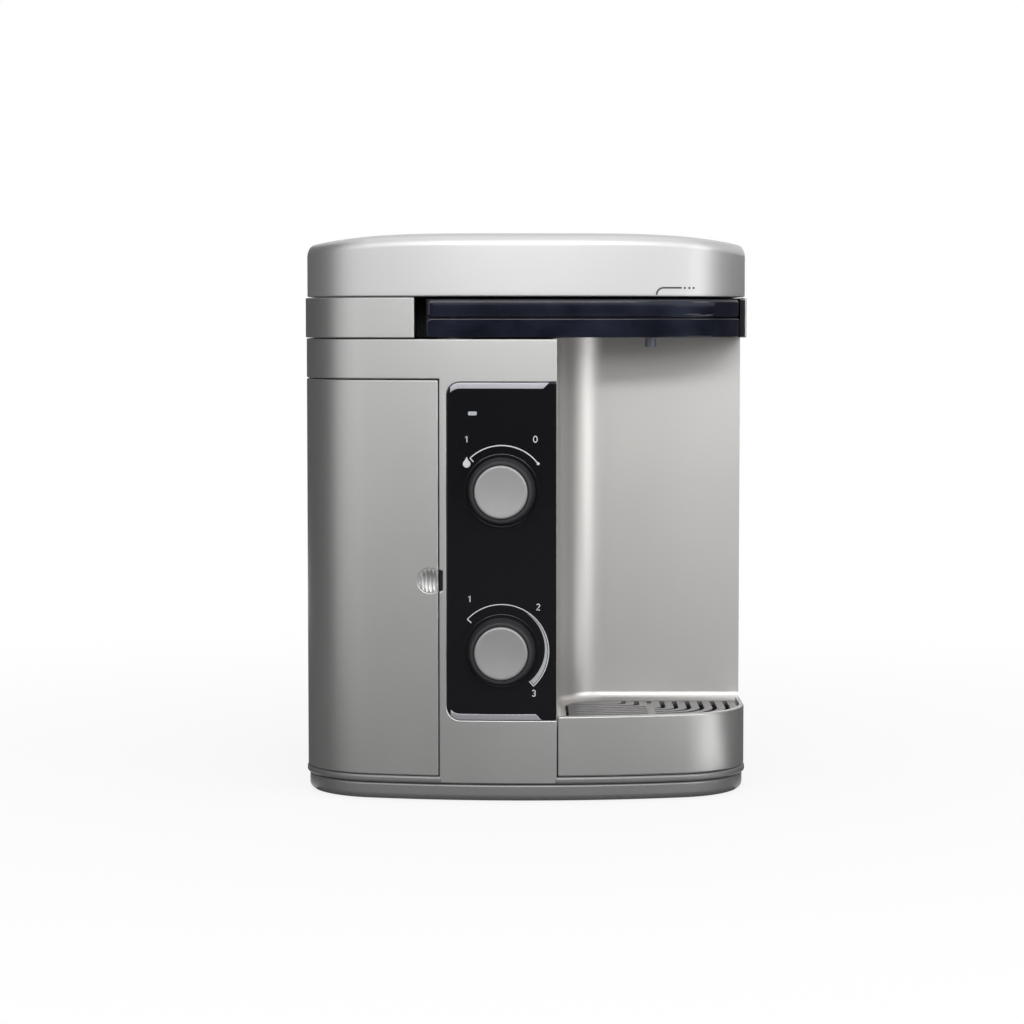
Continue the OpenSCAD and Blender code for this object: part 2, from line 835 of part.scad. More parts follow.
// Walls of the filter compartment
module filter_bay() {
    color([0.5, 0.5, 0.52])
        difference() {
            union() {
                box(column_x - 1, column_x - 1 + liner_t, arc_at(column_x - 1, skin) + gap, liner_y + liner_t,
                    z_door + 0.2, z_under - gap);
                box(-half_w + skin + gap, column_x - 1 + liner_t, liner_y, liner_y + liner_t,
                    z_door + 0.2, z_under - gap);
            }
            for (s = [-1, 1])
                bar_y(filter_x + s * port_dx, liner_y - 1, liner_y + liner_t + 1, port_z, port_r + 1);
        }
}

module filter_head() {
    color([0.88, 0.88, 0.88])
        difference() {
            union() {
                translate([filter_x, filter_y, 0]) post(filter_r - 3, z_head_foot + 12, z_under - gap);
                translate([filter_x, filter_y, 0]) post(neck_r + 5, z_head_foot + 1, z_head_foot + 13);
                box(filter_x - 24, filter_x + 24, filter_y, liner_y - 0.3, z_head_foot + 14, z_under - gap);
                for (s = [-1, 1]) bar_y(filter_x + s * port_dx, liner_y - 4, liner_y + 14, port_z, port_r);
            }
            translate([filter_x, filter_y, 0]) post(neck_r + 0.3, z_head_foot, z_head_foot + 12);
            for (s = [-1, 1]) bar_y(filter_x + s * port_dx, liner_y, liner_y + 15, port_z, port_r - 1.4);
        }
}

// Twist-in cartridge with a domed foot and a grip ring
module filter_cartridge() {
    dome = 14;
    color([0.9, 0.91, 0.92])
        translate([filter_x, filter_y, 0])
            difference() {
                union() {
                    post(filter_r, z_filter + dome, z_head_foot);
                    post(neck_r, z_head_foot - 1, z_head_foot + 11);
                    translate([0, 0, z_filter]) cylinder(r1 = filter_r - dome, r2 = filter_r, h = dome);
                }
                for (k = [0 : 11])
                    rotate(30 * k) translate([filter_r + 1.4, 0, 0])
                        post(3, z_filter + dome + 6, z_filter + dome + 40);
            }
}

// Section of the bay wall: u runs out of the wall face into the bay
module bay_section() {
    tip = 3;
    z0 = ledge_z - tip;
    difference() {
        union() {
            translate([-wall, z0]) square([wall, bay_top - z0]);
            translate([-0.1, z0]) square([cove_r + 0.1, tip + cove_r]);
        }
        translate([cove_r, ledge_z + cove_r]) circle(cove_r);
        translate([cove_r, z0 - 1]) square([cove_r, 3 * cove_r + 5]);
    }
}

module bay_liner() {
    left_y = arc_at(bay_x, skin) + gap;
    color([0.7, 0.7, 0.7]) {
        translate([bay_x, bay_cy, 0]) rotate([90, 0, 0])
            linear_extrude(bay_cy - left_y) bay_section();
        translate([bay_cx, bay_cy, 0]) rotate(90)
            rotate_extrude(angle = 90) translate([bay_r, 0]) mirror([1, 0]) bay_section();
        translate([bay_cx, bay_y, 0]) rotate([90, 0, 90])
            linear_extrude(half_w - panel_inset - bay_cx) mirror([1, 0]) bay_section();
    }
}

module tray_plan(i = 0) {
    intersection() {
        plan(panel_inset + i);
        union() {
            window(bay_cx, half_w, front_y, tray_y - i);
            window(tray_x + i, half_w, front_y, bay_cy);
            translate([bay_cx, bay_cy]) circle(tray_r - i);
        }
    }
}

module drip_tray() {
    color([0.7, 0.7, 0.7]) {
        slab(tray_z0, seat_z)
            difference() {
                tray_plan(0);
                tray_plan(wall + tray_wall);
            }
        slab(tray_z0, tray_z0 + tray_wall) tray_plan(0.5);
        slab(tray_z0, z_tray)
            intersection() {
                ring(panel_inset, wall);
                window(bay_x + seam, half_w, front_y, tray_y);
            }
    }
}

// Nested slots that follow the front and the right side of the tray
module grille_slots() {
    n = floor((tray_y - front_y - 26) / slot_pitch);
    intersection() {
        difference() {
            for (k = [1 : n]) ring(k * slot_pitch + 1, slot_w);
            window(nozzle_x + 2 - spoke_w / 2, nozzle_x + 2 + spoke_w / 2, front_y, tray_y - 16);
        }
        window(tray_x + 5, half_w, front_y, tray_y - 4);
    }
}

module drip_grille() {
    color([0.45, 0.45, 0.47])
        slab(z_grille - grille_t, z_grille)
            difference() {
                intersection() {
                    tray_plan(gap);
                    plan(skin + gap);
                }
                grille_slots();
            }
}

// Base: rounded ring, floor, sill bead, tray runners and studs for the power supply
module base_pan() {
    in = 1.8;
    roll = 6;
    deep = 12;
    color([0.68, 0.68, 0.68])
        difference() {
            union() {
                slab(z_base, z_floor) plan(in + roll);
                slab(z_base + roll, z_sill - seam / 2) ring(in, deep - in);
                slab(z_base + 1.8, z_base + roll) ring(in + 1.2, deep - in - 1.2);
                slab(z_base + 0.6, z_base + 1.8) ring(in + 3, deep - in - 3);
                slab(z_sill - seam, z_sill + seam) ring(in + 2, deep - in - 2);
                difference() {
                    slab(z_sill + seam / 2, z_door - seam / 2) ring(0, deep);
                    box(column_x - seam, bay_x + seam, front_y - 1, front_y + 30, z_sill, z_door);
                }
                for (x = [tray_x + 14, half_w - 34]) box(x, x + 5, front_y + 26, tray_y - 4, z_base, z_door);
                for (p = stud_spots) translate(p) post(stud_r, z_base, z_floor + stud_h);
            }
            translate([hinge_x, hinge_y, 0]) post(pin_r + 0.02, z_sill + 0.4, z_door);
            for (p = foot_spots) translate(p) post(foot_pin_r + 0.1, z_base - 1, z_floor + 1);
        }
}

// Corner posts that stand on the sill and take the screws of the rear cover
module rear_posts() {
    color([0.6, 0.61, 0.62])
        difference() {
            for (s = [-1, 1])
                box(s * post_x - post_w / 2, s * post_x + post_w / 2, cover_y - gap - post_w, cover_y - gap,
                    z_door - seam / 2 + 0.1, z_under - gap);
            for (p = screw_spots) bar_y(p[0], cover_y - post_w, cover_y, p[1], screw_r + run_fit);
        }
}

foot_spots = [for (s = [-1, 1]) for (y = [front_y + 48, rear_y - 40]) [s * (half_w - 40), y, 0]];
supply_x = -half_w + 37;
supply_y = cover_y - 120;
supply_w = 88;
supply_d = 70;
supply_h = 26;
side_deep = 20;
stud_r = 3;
stud_h = 8;
stud_in = 6;
stud_spots = [for (x = [stud_in, supply_w - stud_in]) for (y = [stud_in, supply_d - stud_in])
    [supply_x + x, supply_y + y, 0]];
screw_spots = [for (s = [-1, 1]) for (z = [z_door + 20, (z_door + z_under) / 2, z_under - 14])
    [s * post_x, z]];

module feet() {
    color([0.1, 0.1, 0.1])
        for (p = foot_spots)
            translate(p) {
                post(foot_r, 0, z_base - 0.05);
                post(foot_pin_r, z_base - 1, z_floor);
            }
}

module side_panel() {
    slab(z_door + seam / 2, z_band - seam / 2)
        intersection() {
            ring(panel_inset, wall);
            children();
        }
}

module left_side_panel() {
    color([0.7, 0.7, 0.7]) side_panel() window(-half_w, -half_w + side_deep, side_y, rear_y - rear_r - seam);
}

module right_side_panel() {
    color([0.7, 0.7, 0.7])
        side_panel() window(half_w - side_deep, half_w, bay_y + wall + gap, rear_y - rear_r - seam);
}

// Slot k of the rear vents, reach to each side of x
module vent(x, reach, k) {
    box(x - reach, x + reach, cover_y - 1, rear_y + 1,
        cold_z + k * vent_pitch - vent_h / 2, cold_z + k * vent_pitch + vent_h / 2);
}

module rear_cover() {
    color([0.7, 0.7, 0.7])
        difference() {
            side_panel() window(-half_w, half_w, rear_y - rear_r, rear_y);
            for (k = [-4 : 4]) vent(tank_x, fan_w / 2 - 3 - abs(k) * 1.5, k);
            for (k = [-5 : 5]) vent(-70, 30, k);
            bar_y(inlet_x, cover_y - 1, rear_y + 1, inlet_z, neck_in_r + 0.1);
            bar_y(gland_x, cover_y - 1, rear_y + 1, inlet_z, nipple_r + 0.1);
            for (p = screw_spots) bar_y(p[0], cover_y - 1, rear_y + 1, p[1], screw_r + 0.2);
        }
}

module rear_screws() {
    color([0.7, 0.7, 0.71])
        for (p = screw_spots) {
            bar_y(p[0], cover_y - post_w + 1, outer_y + 1, p[1], screw_r);
            difference() {
                bar_y(p[0], outer_y + 0.05, outer_y + screw_head_t, p[1], screw_head_r);
                for (turn = [0, 90])
                    translate([p[0], outer_y + screw_head_t, p[1]]) rotate([0, turn, 0])
                        cube([drive_l, 1.6, drive_w], center = true);
            }
        }
}

// Water inlet: nipple through the rear cover with a flange outside and a barb inside
module inlet_fitting() {
    color([0.8, 0.68, 0.35])
        difference() {
            union() {
                bar_y(inlet_x, outer_y + 1, rear_y + inlet_out, inlet_z, nipple_r);
                bar_y(inlet_x, outer_y + 0.1, outer_y + flange_t, inlet_z, nipple_r + 3.5);
                bar_y(inlet_x, cover_y - 6, outer_y + 2, inlet_z, neck_in_r);
                bar_y(inlet_x, cover_y - 5, cover_y - 0.1, inlet_z, nipple_r + 4);
                bar_y(inlet_x, cover_y - inlet_tail, cover_y - 5, inlet_z, port_r);
            }
            bar_y(inlet_x, cover_y - inlet_tail - 1, rear_y + inlet_out + 1, inlet_z, 2.4);
        }
}

module mains_gland() {
    color([0.08, 0.08, 0.08])
        difference() {
            union() {
                bar_y(gland_x, cover_y - 6, outer_y + 4, inlet_z, nipple_r);
                bar_y(gland_x, cover_y - 5, cover_y - 0.1, inlet_z, nipple_r + 3);
                bar_y(gland_x, outer_y + 0.1, outer_y + 4, inlet_z, nipple_r + 2.5);
            }
            bar_y(gland_x, cover_y - 7, rear_y + 5, inlet_z, cord_r);
        }
}

module tank_stand() {
    reach = foam_w - 2;
    leg_r = 6;
    leg_at = reach - leg_r - 4;
    color([0.62, 0.63, 0.64]) {
        box(tank_x - reach, tank_x + reach, tank_y - reach, tank_y + reach, z_stand - 2, z_stand);
        for (s = [-1, 1]) for (t = [-1, 1])
            translate([tank_x + s * leg_at, tank_y + t * leg_at, 0]) post(leg_r, z_floor + 0.1, z_stand - 1);
    }
}

// Foam half round the tank: side -1 is the front half, +1 the rear half
module foam_half(side) {
    y0 = side < 0 ? tank_y - foam_w : tank_y + 0.1;
    y1 = side < 0 ? tank_y - 0.1 : tank_y + foam_w;
    difference() {
        box(tank_x - foam_w, tank_x + foam_w, y0, y1, z_stand + 0.2, foam_top);
        translate([tank_x, tank_y, 0]) post(tank_r + 0.2, z_tank - 0.1, z_tank + tank_h + 0.1);
        for (s = [-1, 1])
            translate([tank_x + s * tank_port, tank_y, 0]) post(port_r + 0.6, z_tank, foam_top + 1);
        box(tank_x - cold_w / 2 - 0.2, tank_x + cold_w / 2 + 0.2, tank_y, tank_y + foam_w + 1,
            cold_z - cold_w / 2 - 0.2, cold_z + cold_w / 2 + 0.2);
    }
}

module foam_front() { color([0.96, 0.96, 0.94]) foam_half(-1); }
module foam_rear() { color([0.96, 0.96, 0.94]) foam_half(1); }

module cold_tank() {
    t = 1.2;
    color([0.76, 0.77, 0.78])
        translate([tank_x, tank_y, 0])
            difference() {
                union() {
                    post(tank_r, z_tank, z_tank + tank_h);
                    for (s = [-1, 1])
                        translate([s * tank_port, 0, 0]) post(port_r, z_tank + tank_h - 1, port_top);
                }
                post(tank_r - t, z_tank + t, z_tank + tank_h - t);
                for (s = [-1, 1])
                    translate([s * tank_port, 0, 0]) post(port_r - t, z_tank + tank_h - 3, port_top + 1);
            }
}

module cold_block() {
    color([0.82, 0.83, 0.84])
        difference() {
            box(tank_x - cold_w / 2, tank_x + cold_w / 2, tank_y + 30, foam_y - 0.1,
                cold_z - cold_w / 2, cold_z + cold_w / 2);
            translate([tank_x, tank_y, 0]) post(tank_r + 0.1, z_tank, z_tank + tank_h);
        }
}

module peltier_module() {
    color([0.93, 0.92, 0.88])
        box(tank_x - cold_w / 2, tank_x + cold_w / 2, foam_y + 0.1, foam_y + pelt_t + 0.1,
            cold_z - cold_w / 2, cold_z + cold_w / 2);
}

module heat_sink() {
    fin_end = sink_y + sink_base + min(fin_l, fan_y - 4 - sink_y - sink_base);
    pitch = (sink_w - 2) / (fin_n - 1);
    color([0.72, 0.73, 0.75]) {
        box(tank_x - sink_w / 2, tank_x + sink_w / 2, sink_y, sink_y + sink_base,
            cold_z - sink_h / 2, cold_z + sink_h / 2);
        for (k = [0 : fin_n - 1])
            box(tank_x - sink_w / 2 + k * pitch, tank_x - sink_w / 2 + k * pitch + 2, sink_y, fin_end,
                cold_z - sink_h / 2, cold_z + sink_h / 2);
    }
}

module fan_housing() {
    strut = 4;
    color([0.07, 0.07, 0.07]) {
        difference() {
            box(tank_x - fan_w / 2, tank_x + fan_w / 2, fan_y, fan_y + fan_t,
                cold_z - fan_w / 2, cold_z + fan_w / 2);
            bar_y(tank_x, fan_y - 1, fan_y + fan_t + 1, cold_z, fan_bore);
        }
        bar_y(tank_x, fan_y + fan_t - strut, fan_y + fan_t, cold_z, hub_r);
        box(tank_x - fan_bore - 1, tank_x + fan_bore + 1, fan_y + fan_t - strut + 1, fan_y + fan_t - 0.5,
            cold_z - strut / 2, cold_z + strut / 2);
        box(tank_x - strut / 2, tank_x + strut / 2, fan_y + fan_t - strut + 1, fan_y + fan_t - 0.5,
            cold_z - fan_bore - 1, cold_z + fan_bore + 1);
        bar_y(tank_x, fan_y + 6, fan_y + fan_t - strut + 1, cold_z, axle_r);
    }
}

module fan_rotor() {
    y0 = fan_y + 3;
    y1 = fan_y + fan_t - 5;
    color([0.12, 0.12, 0.12])
        difference() {
            union() {
                bar_y(tank_x, y0, y1, cold_z, hub_r);
                for (k = [0 : 6])
                    translate([tank_x, (y0 + y1) / 2, cold_z]) rotate([0, k * 360 / 7, 0])
                        rotate([38, 0, 0]) translate([hub_r - 3, -0.9, -9]) cube([rotor_r - hub_r, 1.8, 18]);
            }
            bar_y(tank_x, y0 + 2, y1 + 1, cold_z, axle_r + run_fit);
        }
}

module power_supply() {
    z = z_floor + stud_h + 0.1;
    part_z = z + board_t / 2;
    can_x = supply_x + 0.7 * supply_w;
    core_x = supply_x + 0.14 * supply_w;
    core_w = 0.37 * supply_w;
    core_y = supply_y + 0.2 * supply_d;
    can_y = supply_y + 0.28 * supply_d;
    rail_y = supply_y + 0.63 * supply_d;
    color([0.12, 0.36, 0.2]) {
        box(supply_x, supply_x + supply_w, supply_y, supply_y + supply_d, z, z + board_t);
        box(core_x, core_x + core_w, core_y, rail_y, part_z, z + supply_h);
        translate([can_x, can_y, 0]) post(9, part_z, z + supply_h);
        translate([can_x, rail_y, 0]) post(6, part_z, z + supply_h - 6);
        box(core_x, core_x + core_w, rail_y + 8, rail_y + 12, part_z, z + supply_h - 2);
    }
}

// Tee on the clean-water port of the filter head
tee_x = filter_x + port_dx;
tee_y0 = liner_y + 14.2;
tee_y1 = tee_y0 + 26;
tee_branch_y = tee_y0 + 13;
module tee_fitting() {
    color([0.88, 0.88, 0.88]) {
        bar_y(tee_x, tee_y0, tee_y1, port_z, port_r);
        translate([tee_x, tee_branch_y, port_z]) rotate([0, 90, 0]) cylinder(r = port_r, h = tee_branch);
    }
}

front_mid = arc_y - (front_r - panel_inset);
back_port_y = front_mid + valve_w + valve_l + port_l + 0.2;
// Hose between two ports, straight for two leads off each of them
module water_hose(start, start_way, via, end, end_way) {
    lead = hose_lead;
    color([0.9, 0.92, 0.94])
        hose(concat([start, start + lead * start_way, start + 2 * lead * start_way], via,
            [end + 2 * lead * end_way, end + lead * end_way, end]), barb_r);
}

module inlet_hose() {
    x = filter_x - port_dx;
    end_y = liner_y + 14.3;
    water_hose([inlet_x, cover_y - inlet_tail - hose_gap, inlet_z], [0, -1, 0],
        [[inlet_x - 12, cover_y - 90, (inlet_z + port_z) / 2 - 40], [x, end_y + 60, port_z - 60]],
        [x, end_y, port_z], [0, 1, 0]);
}

module filtered_hose() {
    water_hose([tee_x + tee_branch + hose_gap, tee_branch_y, port_z], [1, 0, 0],
        [[knob_x - 24, tee_branch_y - 12, port_z - 50], [knob_x - 12, back_port_y + 36, temp_z + 50]],
        [knob_x - 9, back_port_y + 2 * hose_gap, temp_z], [0, 1, 0]);
}

module tank_hose() {
    x = tank_x - tank_port;
    water_hose([tee_x, tee_y1 + hose_gap, port_z], [0, 1, 0],
        [[tee_x + 50, tank_y - 4, port_top + 8], [x - 16, tank_y, port_top + 11]],
        [x, tank_y, port_top + hose_gap], [0, 0, 1]);
}

module cold_hose() {
    x = tank_x + tank_port;
    water_hose([x, tank_y, port_top + hose_gap], [0, 0, 1],
        [[x - 40, tank_y - 34, port_top + 10], [knob_x + 2, tank_y - foam_w + 10, foam_top + 8],
         [knob_x + 2, tank_y - foam_w - 12, foam_top - 40], [knob_x + 4, back_port_y + 34, temp_z + 44]],
        [knob_x + 7, back_port_y + hose_gap, temp_z], [0, 1, 0]);
}

module link_hose() {
    y = front_mid + valve_w + valve_l / 2;
    x = knob_x - 1;
    reach = valve_r + port_l + hose_gap;
    water_hose([x, y, temp_z + reach], [0, 0, 1], [], [x, y, tap_z - reach], [0, 0, -1]);
}

module spout_hose() {
    y = front_mid + valve_w + valve_l / 2;
    x = knob_x - 1;
    water_hose([x, y, tap_z + valve_r + port_l + hose_gap], [0, 0, 1],
        [[pivot_x + 8, pivot_y + 2, z_under - 36]], [pivot_x, pivot_y, z_under - 10.4], [0, 0, -1]);
}

lid();
lid_soffit();
top_band();
deck();
spindle_bush();
front_panel();
fascia();
fascia_trims();
led_lens();
control_board();
valve_bracket();
tap_valve();
mixing_valve();
tap_spindle();
tap_collar();
tap_cap();
temp_spindle();
temp_collar();
temp_cap();
filter_door();
door_hinge_pins();
filter_bay();
filter_head();
filter_cartridge();
bay_liner();
drip_tray();
drip_grille();
base_pan();
feet();
left_side_panel();
right_side_panel();
rear_posts();
rear_cover();
rear_screws();
inlet_fitting();
mains_gland();
tank_stand();
foam_front();
foam_rear();
cold_tank();
cold_block();
peltier_module();
heat_sink();
fan_housing();
fan_rotor();
power_supply();
tee_fitting();
inlet_hose();
filtered_hose();
tank_hose();
cold_hose();
link_hose();
spout_hose();
arm_body();
arm_cover();
arm_lens_upper();
arm_lens_lower();
arm_tube();
spout_nozzle();
spout_spindle();
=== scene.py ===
"""Counter-top water purifier dispenser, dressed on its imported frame.

Sizes are in millimetres until a mesh is made; the frame itself is in metres.
"""
import logging
import math
from dataclasses import dataclass, field, replace
from enum import Enum
from itertools import cycle
from typing import Callable, Iterable, Optional, Sequence

import bmesh
import bpy
from mathutils import Matrix, Vector


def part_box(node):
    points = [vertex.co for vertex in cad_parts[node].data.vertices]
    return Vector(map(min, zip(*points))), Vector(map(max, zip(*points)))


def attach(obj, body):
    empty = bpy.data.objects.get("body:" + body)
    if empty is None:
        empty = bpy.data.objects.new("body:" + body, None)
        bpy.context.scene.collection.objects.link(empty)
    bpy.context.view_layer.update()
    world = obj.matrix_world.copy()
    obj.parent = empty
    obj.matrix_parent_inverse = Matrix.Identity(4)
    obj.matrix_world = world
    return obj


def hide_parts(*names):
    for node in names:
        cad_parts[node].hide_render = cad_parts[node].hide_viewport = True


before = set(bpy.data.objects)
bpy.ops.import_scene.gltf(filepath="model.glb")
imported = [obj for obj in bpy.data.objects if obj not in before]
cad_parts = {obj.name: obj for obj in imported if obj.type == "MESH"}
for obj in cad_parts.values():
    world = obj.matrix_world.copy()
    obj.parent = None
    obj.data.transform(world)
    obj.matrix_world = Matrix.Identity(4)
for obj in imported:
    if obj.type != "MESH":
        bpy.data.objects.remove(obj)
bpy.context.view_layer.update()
LOG = logging.getLogger("dispenser")
MM = 0.001
QUARTER = math.pi / 2
EVEN_WEIGHT = 90
PRINT_LIFT = 0.05
PRINT_DEEP = 0.2
CUT_NEAR = 1e-4
WELD_NEAR = 1e-7

Point2 = tuple[float, float]
Point3 = tuple[float, float, float]
Color = tuple[float, float, float]
Ring = list[Point3]
Ribbon = list[tuple[Point2, Point2]]
Fixture = tuple[str, Point3, Point3, Point2, float]


class Body(Enum):
    """Moving bodies of the frame."""

    CABINET = "cabinet"
    ARM = "spout_arm"
    TAP = "tap_knob"
    TEMPERATURE = "temperature_knob"
    DOOR = "door"
    TRAY = "tray"


class Slot(Enum):
    """Material slots of the record."""

    SHELL = "silver_shell"
    DARK = "dark_moulding"
    COLLAR = "knob_collar"
    CAP = "knob_cap"
    FASCIA = "fascia_black"
    TRIM = "bright_trim"
    LED = "led_lens"
    NOZZLE = "nozzle_grey"
    LENS = "tinted_lens"


class Texture(Enum):
    """Kinds of fine surface relief."""

    GRAIN = "grain"
    BRUSHED = "brushed"
    SPUN = "spun"


class Effects:
    """Shared shader node groups, each built once."""

    EVEN: Point3 = (1.0, 1.0, 1.0)
    WIPED: Point3 = (1.0, 1.0, 0.45)
    ALONG: Point3 = (0.02, 0.02, 1.0)
    ROUND: Point3 = (1.0, 1.0, 0.0)
    MEAN: float = 0.5
    UPRIGHT: float = 0.5
    LEVEL: float = 0.97
    TONE_DETAIL: float = 3.0
    MARK_DETAIL: float = 5.0
    FINE_DETAIL: float = 2.0

    @staticmethod
    def _start(name: str, inputs: dict[str, object], output: tuple[str, str]) -> tuple:
        """Start a node group.

        Args:
            name: Name of the group.
            inputs: Input socket names with their first values.
            output: Name and socket type of the one output.

        Returns:
            The node tree, its input node and its output node.
        """
        tree = bpy.data.node_groups.new(name, "ShaderNodeTree")
        for key, value in inputs.items():
            kind = "NodeSocketColor" if isinstance(value, tuple) else "NodeSocketFloat"
            socket = tree.interface.new_socket(name=key, in_out="INPUT", socket_type=kind)
            socket.default_value = value
        tree.interface.new_socket(name=output[0], in_out="OUTPUT", socket_type=output[1])
        return tree, tree.nodes.new("NodeGroupInput"), tree.nodes.new("NodeGroupOutput")

    @staticmethod
    def _math(tree: bpy.types.NodeTree, operation: str, first: object,
              second: object) -> bpy.types.NodeSocket:
        """Add a math node.

        Args:
            tree: Tree that takes the node.
            operation: Math operation.
            first: First number or socket.
            second: Second number or socket.

        Returns:
            The value socket of the new node.
        """
        node = tree.nodes.new("ShaderNodeMath")
        node.operation = operation
        for socket, value in zip(node.inputs, (first, second)):
            if isinstance(value, bpy.types.NodeSocket):
                tree.links.new(value, socket)
            else:
                socket.default_value = value
        return node.outputs[0]

    @classmethod
    def _swing(cls, tree: bpy.types.NodeTree, noise: bpy.types.NodeSocket,
               amount: bpy.types.NodeSocket) -> bpy.types.NodeSocket:
        """Return noise that swings about zero by an amount."""
        return cls._math(tree, "MULTIPLY", cls._math(tree, "SUBTRACT", noise, cls.MEAN), amount)

    @staticmethod
    def _noise(tree: bpy.types.NodeTree, scale: bpy.types.NodeSocket, stretch: Point3,
               detail: float) -> bpy.types.NodeSocket:
        """Add object-space noise.

        Args:
            tree: Tree that takes the nodes.
            scale: Socket with the noise scale.
            stretch: Factor on each axis before the noise.
            detail: Noise detail.

        Returns:
            The noise value socket.
        """
        coord = tree.nodes.new("ShaderNodeTexCoord")
        factor = tree.nodes.new("ShaderNodeVectorMath")
        factor.operation = "MULTIPLY"
        factor.inputs[1].default_value = stretch
        noise = tree.nodes.new("ShaderNodeTexNoise")
        noise.inputs["Detail"].default_value = detail
        tree.links.new(coord.outputs["Object"], factor.inputs[0])
        tree.links.new(factor.outputs[0], noise.inputs["Vector"])
        tree.links.new(scale, noise.inputs["Scale"])
        return noise.outputs[0]

    @classmethod
    def tone(cls) -> bpy.types.NodeTree:
        """Give the group that lets a colour drift slowly over a surface.

        Returns:
            The node tree, with Color, Drift and Scale inputs and a Color output.
        """
        tree = bpy.data.node_groups.get("tone_drift")
        if tree:
            return tree
        start = {"Color": (0.5, 0.5, 0.5, 1.0), "Drift": 0.05, "Scale": 8.0}
        tree, head, tail = cls._start("tone_drift", start, ("Color", "NodeSocketColor"))
        noise = cls._noise(tree, head.outputs["Scale"], cls.EVEN, cls.TONE_DETAIL)
        swing = cls._swing(tree, noise, head.outputs["Drift"])
        level = cls._math(tree, "ADD", cls._math(tree, "MULTIPLY", swing, 2.0), 1.0)
        shade = tree.nodes.new("ShaderNodeVectorMath")
        shade.operation = "SCALE"
        tree.links.new(head.outputs["Color"], shade.inputs[0])
        tree.links.new(level, shade.inputs["Scale"])
        tree.links.new(shade.outputs[0], tail.inputs[0])
        return tree

    @classmethod
    def handling(cls) -> bpy.types.NodeTree:
        """Give the group that varies roughness as wiped and handled surfaces do.

        Returns:
            The node tree, with Roughness, Spread and Scale inputs and a Roughness output.
        """
        tree = bpy.data.node_groups.get("handling_marks")
        if tree:
            return tree
        start = {"Roughness": 0.4, "Spread": 0.08, "Scale": 14.0}
        tree, head, tail = cls._start("handling_marks", start, ("Roughness", "NodeSocketFloat"))
        noise = cls._noise(tree, head.outputs["Scale"], cls.WIPED, cls.MARK_DETAIL)
        swing = cls._swing(tree, noise, head.outputs["Spread"])
        tree.links.new(cls._math(tree, "ADD", head.outputs["Roughness"], swing), tail.inputs[0])
        return tree

    @classmethod
    def upward(cls) -> bpy.types.NodeTree:
        """Give the group that blends from a value on upright faces to another on faces that look up.

        Returns:
            The node tree, with Side and Top inputs and a Value output.
        """
        tree = bpy.data.node_groups.get("upward_blend")
        if tree:
            return tree
        tree, head, tail = cls._start("upward_blend", {"Side": 0.4, "Top": 0.6}, ("Value", "NodeSocketFloat"))
        coord, axes = tree.nodes.new("ShaderNodeTexCoord"), tree.nodes.new("ShaderNodeSeparateXYZ")
        blend = tree.nodes.new("ShaderNodeMapRange")
        blend.interpolation_type = "SMOOTHSTEP"
        blend.inputs["From Min"].default_value = cls.UPRIGHT
        blend.inputs["From Max"].default_value = cls.LEVEL
        tree.links.new(coord.outputs["Normal"], axes.inputs[0])
        tree.links.new(axes.outputs["Z"], blend.inputs["Value"])
        tree.links.new(head.outputs["Side"], blend.inputs["To Min"])
        tree.links.new(head.outputs["Top"], blend.inputs["To Max"])
        tree.links.new(blend.outputs[0], tail.inputs[0])
        return tree

    @classmethod
    def relief(cls, texture: Texture) -> bpy.types.NodeTree:
        """Return the height group of a surface texture.

        Args:
            texture: Kind of relief.

        Returns:
            The node tree, with a Scale input and a Height output.
        """
        name = f"relief_{texture.value}"
        tree = bpy.data.node_groups.get(name)
        if tree:
            return tree
        tree, head, tail = cls._start(name, {"Scale": 900.0}, ("Height", "NodeSocketFloat"))
        scale = head.outputs["Scale"]
        if texture is Texture.GRAIN:
            height = cls._noise(tree, scale, cls.EVEN, cls.FINE_DETAIL)
        elif texture is Texture.BRUSHED:
            height = cls._noise(tree, scale, cls.ALONG, cls.FINE_DETAIL)
        else:
            coord = tree.nodes.new("ShaderNodeTexCoord")
            flat = tree.nodes.new("ShaderNodeVectorMath")
            flat.operation = "MULTIPLY"
            flat.inputs[1].default_value = cls.ROUND
            reach = tree.nodes.new("ShaderNodeVectorMath")
            reach.operation = "LENGTH"
            noise = tree.nodes.new("ShaderNodeTexNoise")
            noise.noise_dimensions = "1D"
            tree.links.new(coord.outputs["Object"], flat.inputs[0])
            tree.links.new(flat.outputs[0], reach.inputs[0])
            tree.links.new(reach.outputs["Value"], noise.inputs["W"])
            tree.links.new(scale, noise.inputs["Scale"])
            height = noise.outputs[0]
        tree.links.new(height, tail.inputs[0])
        return tree


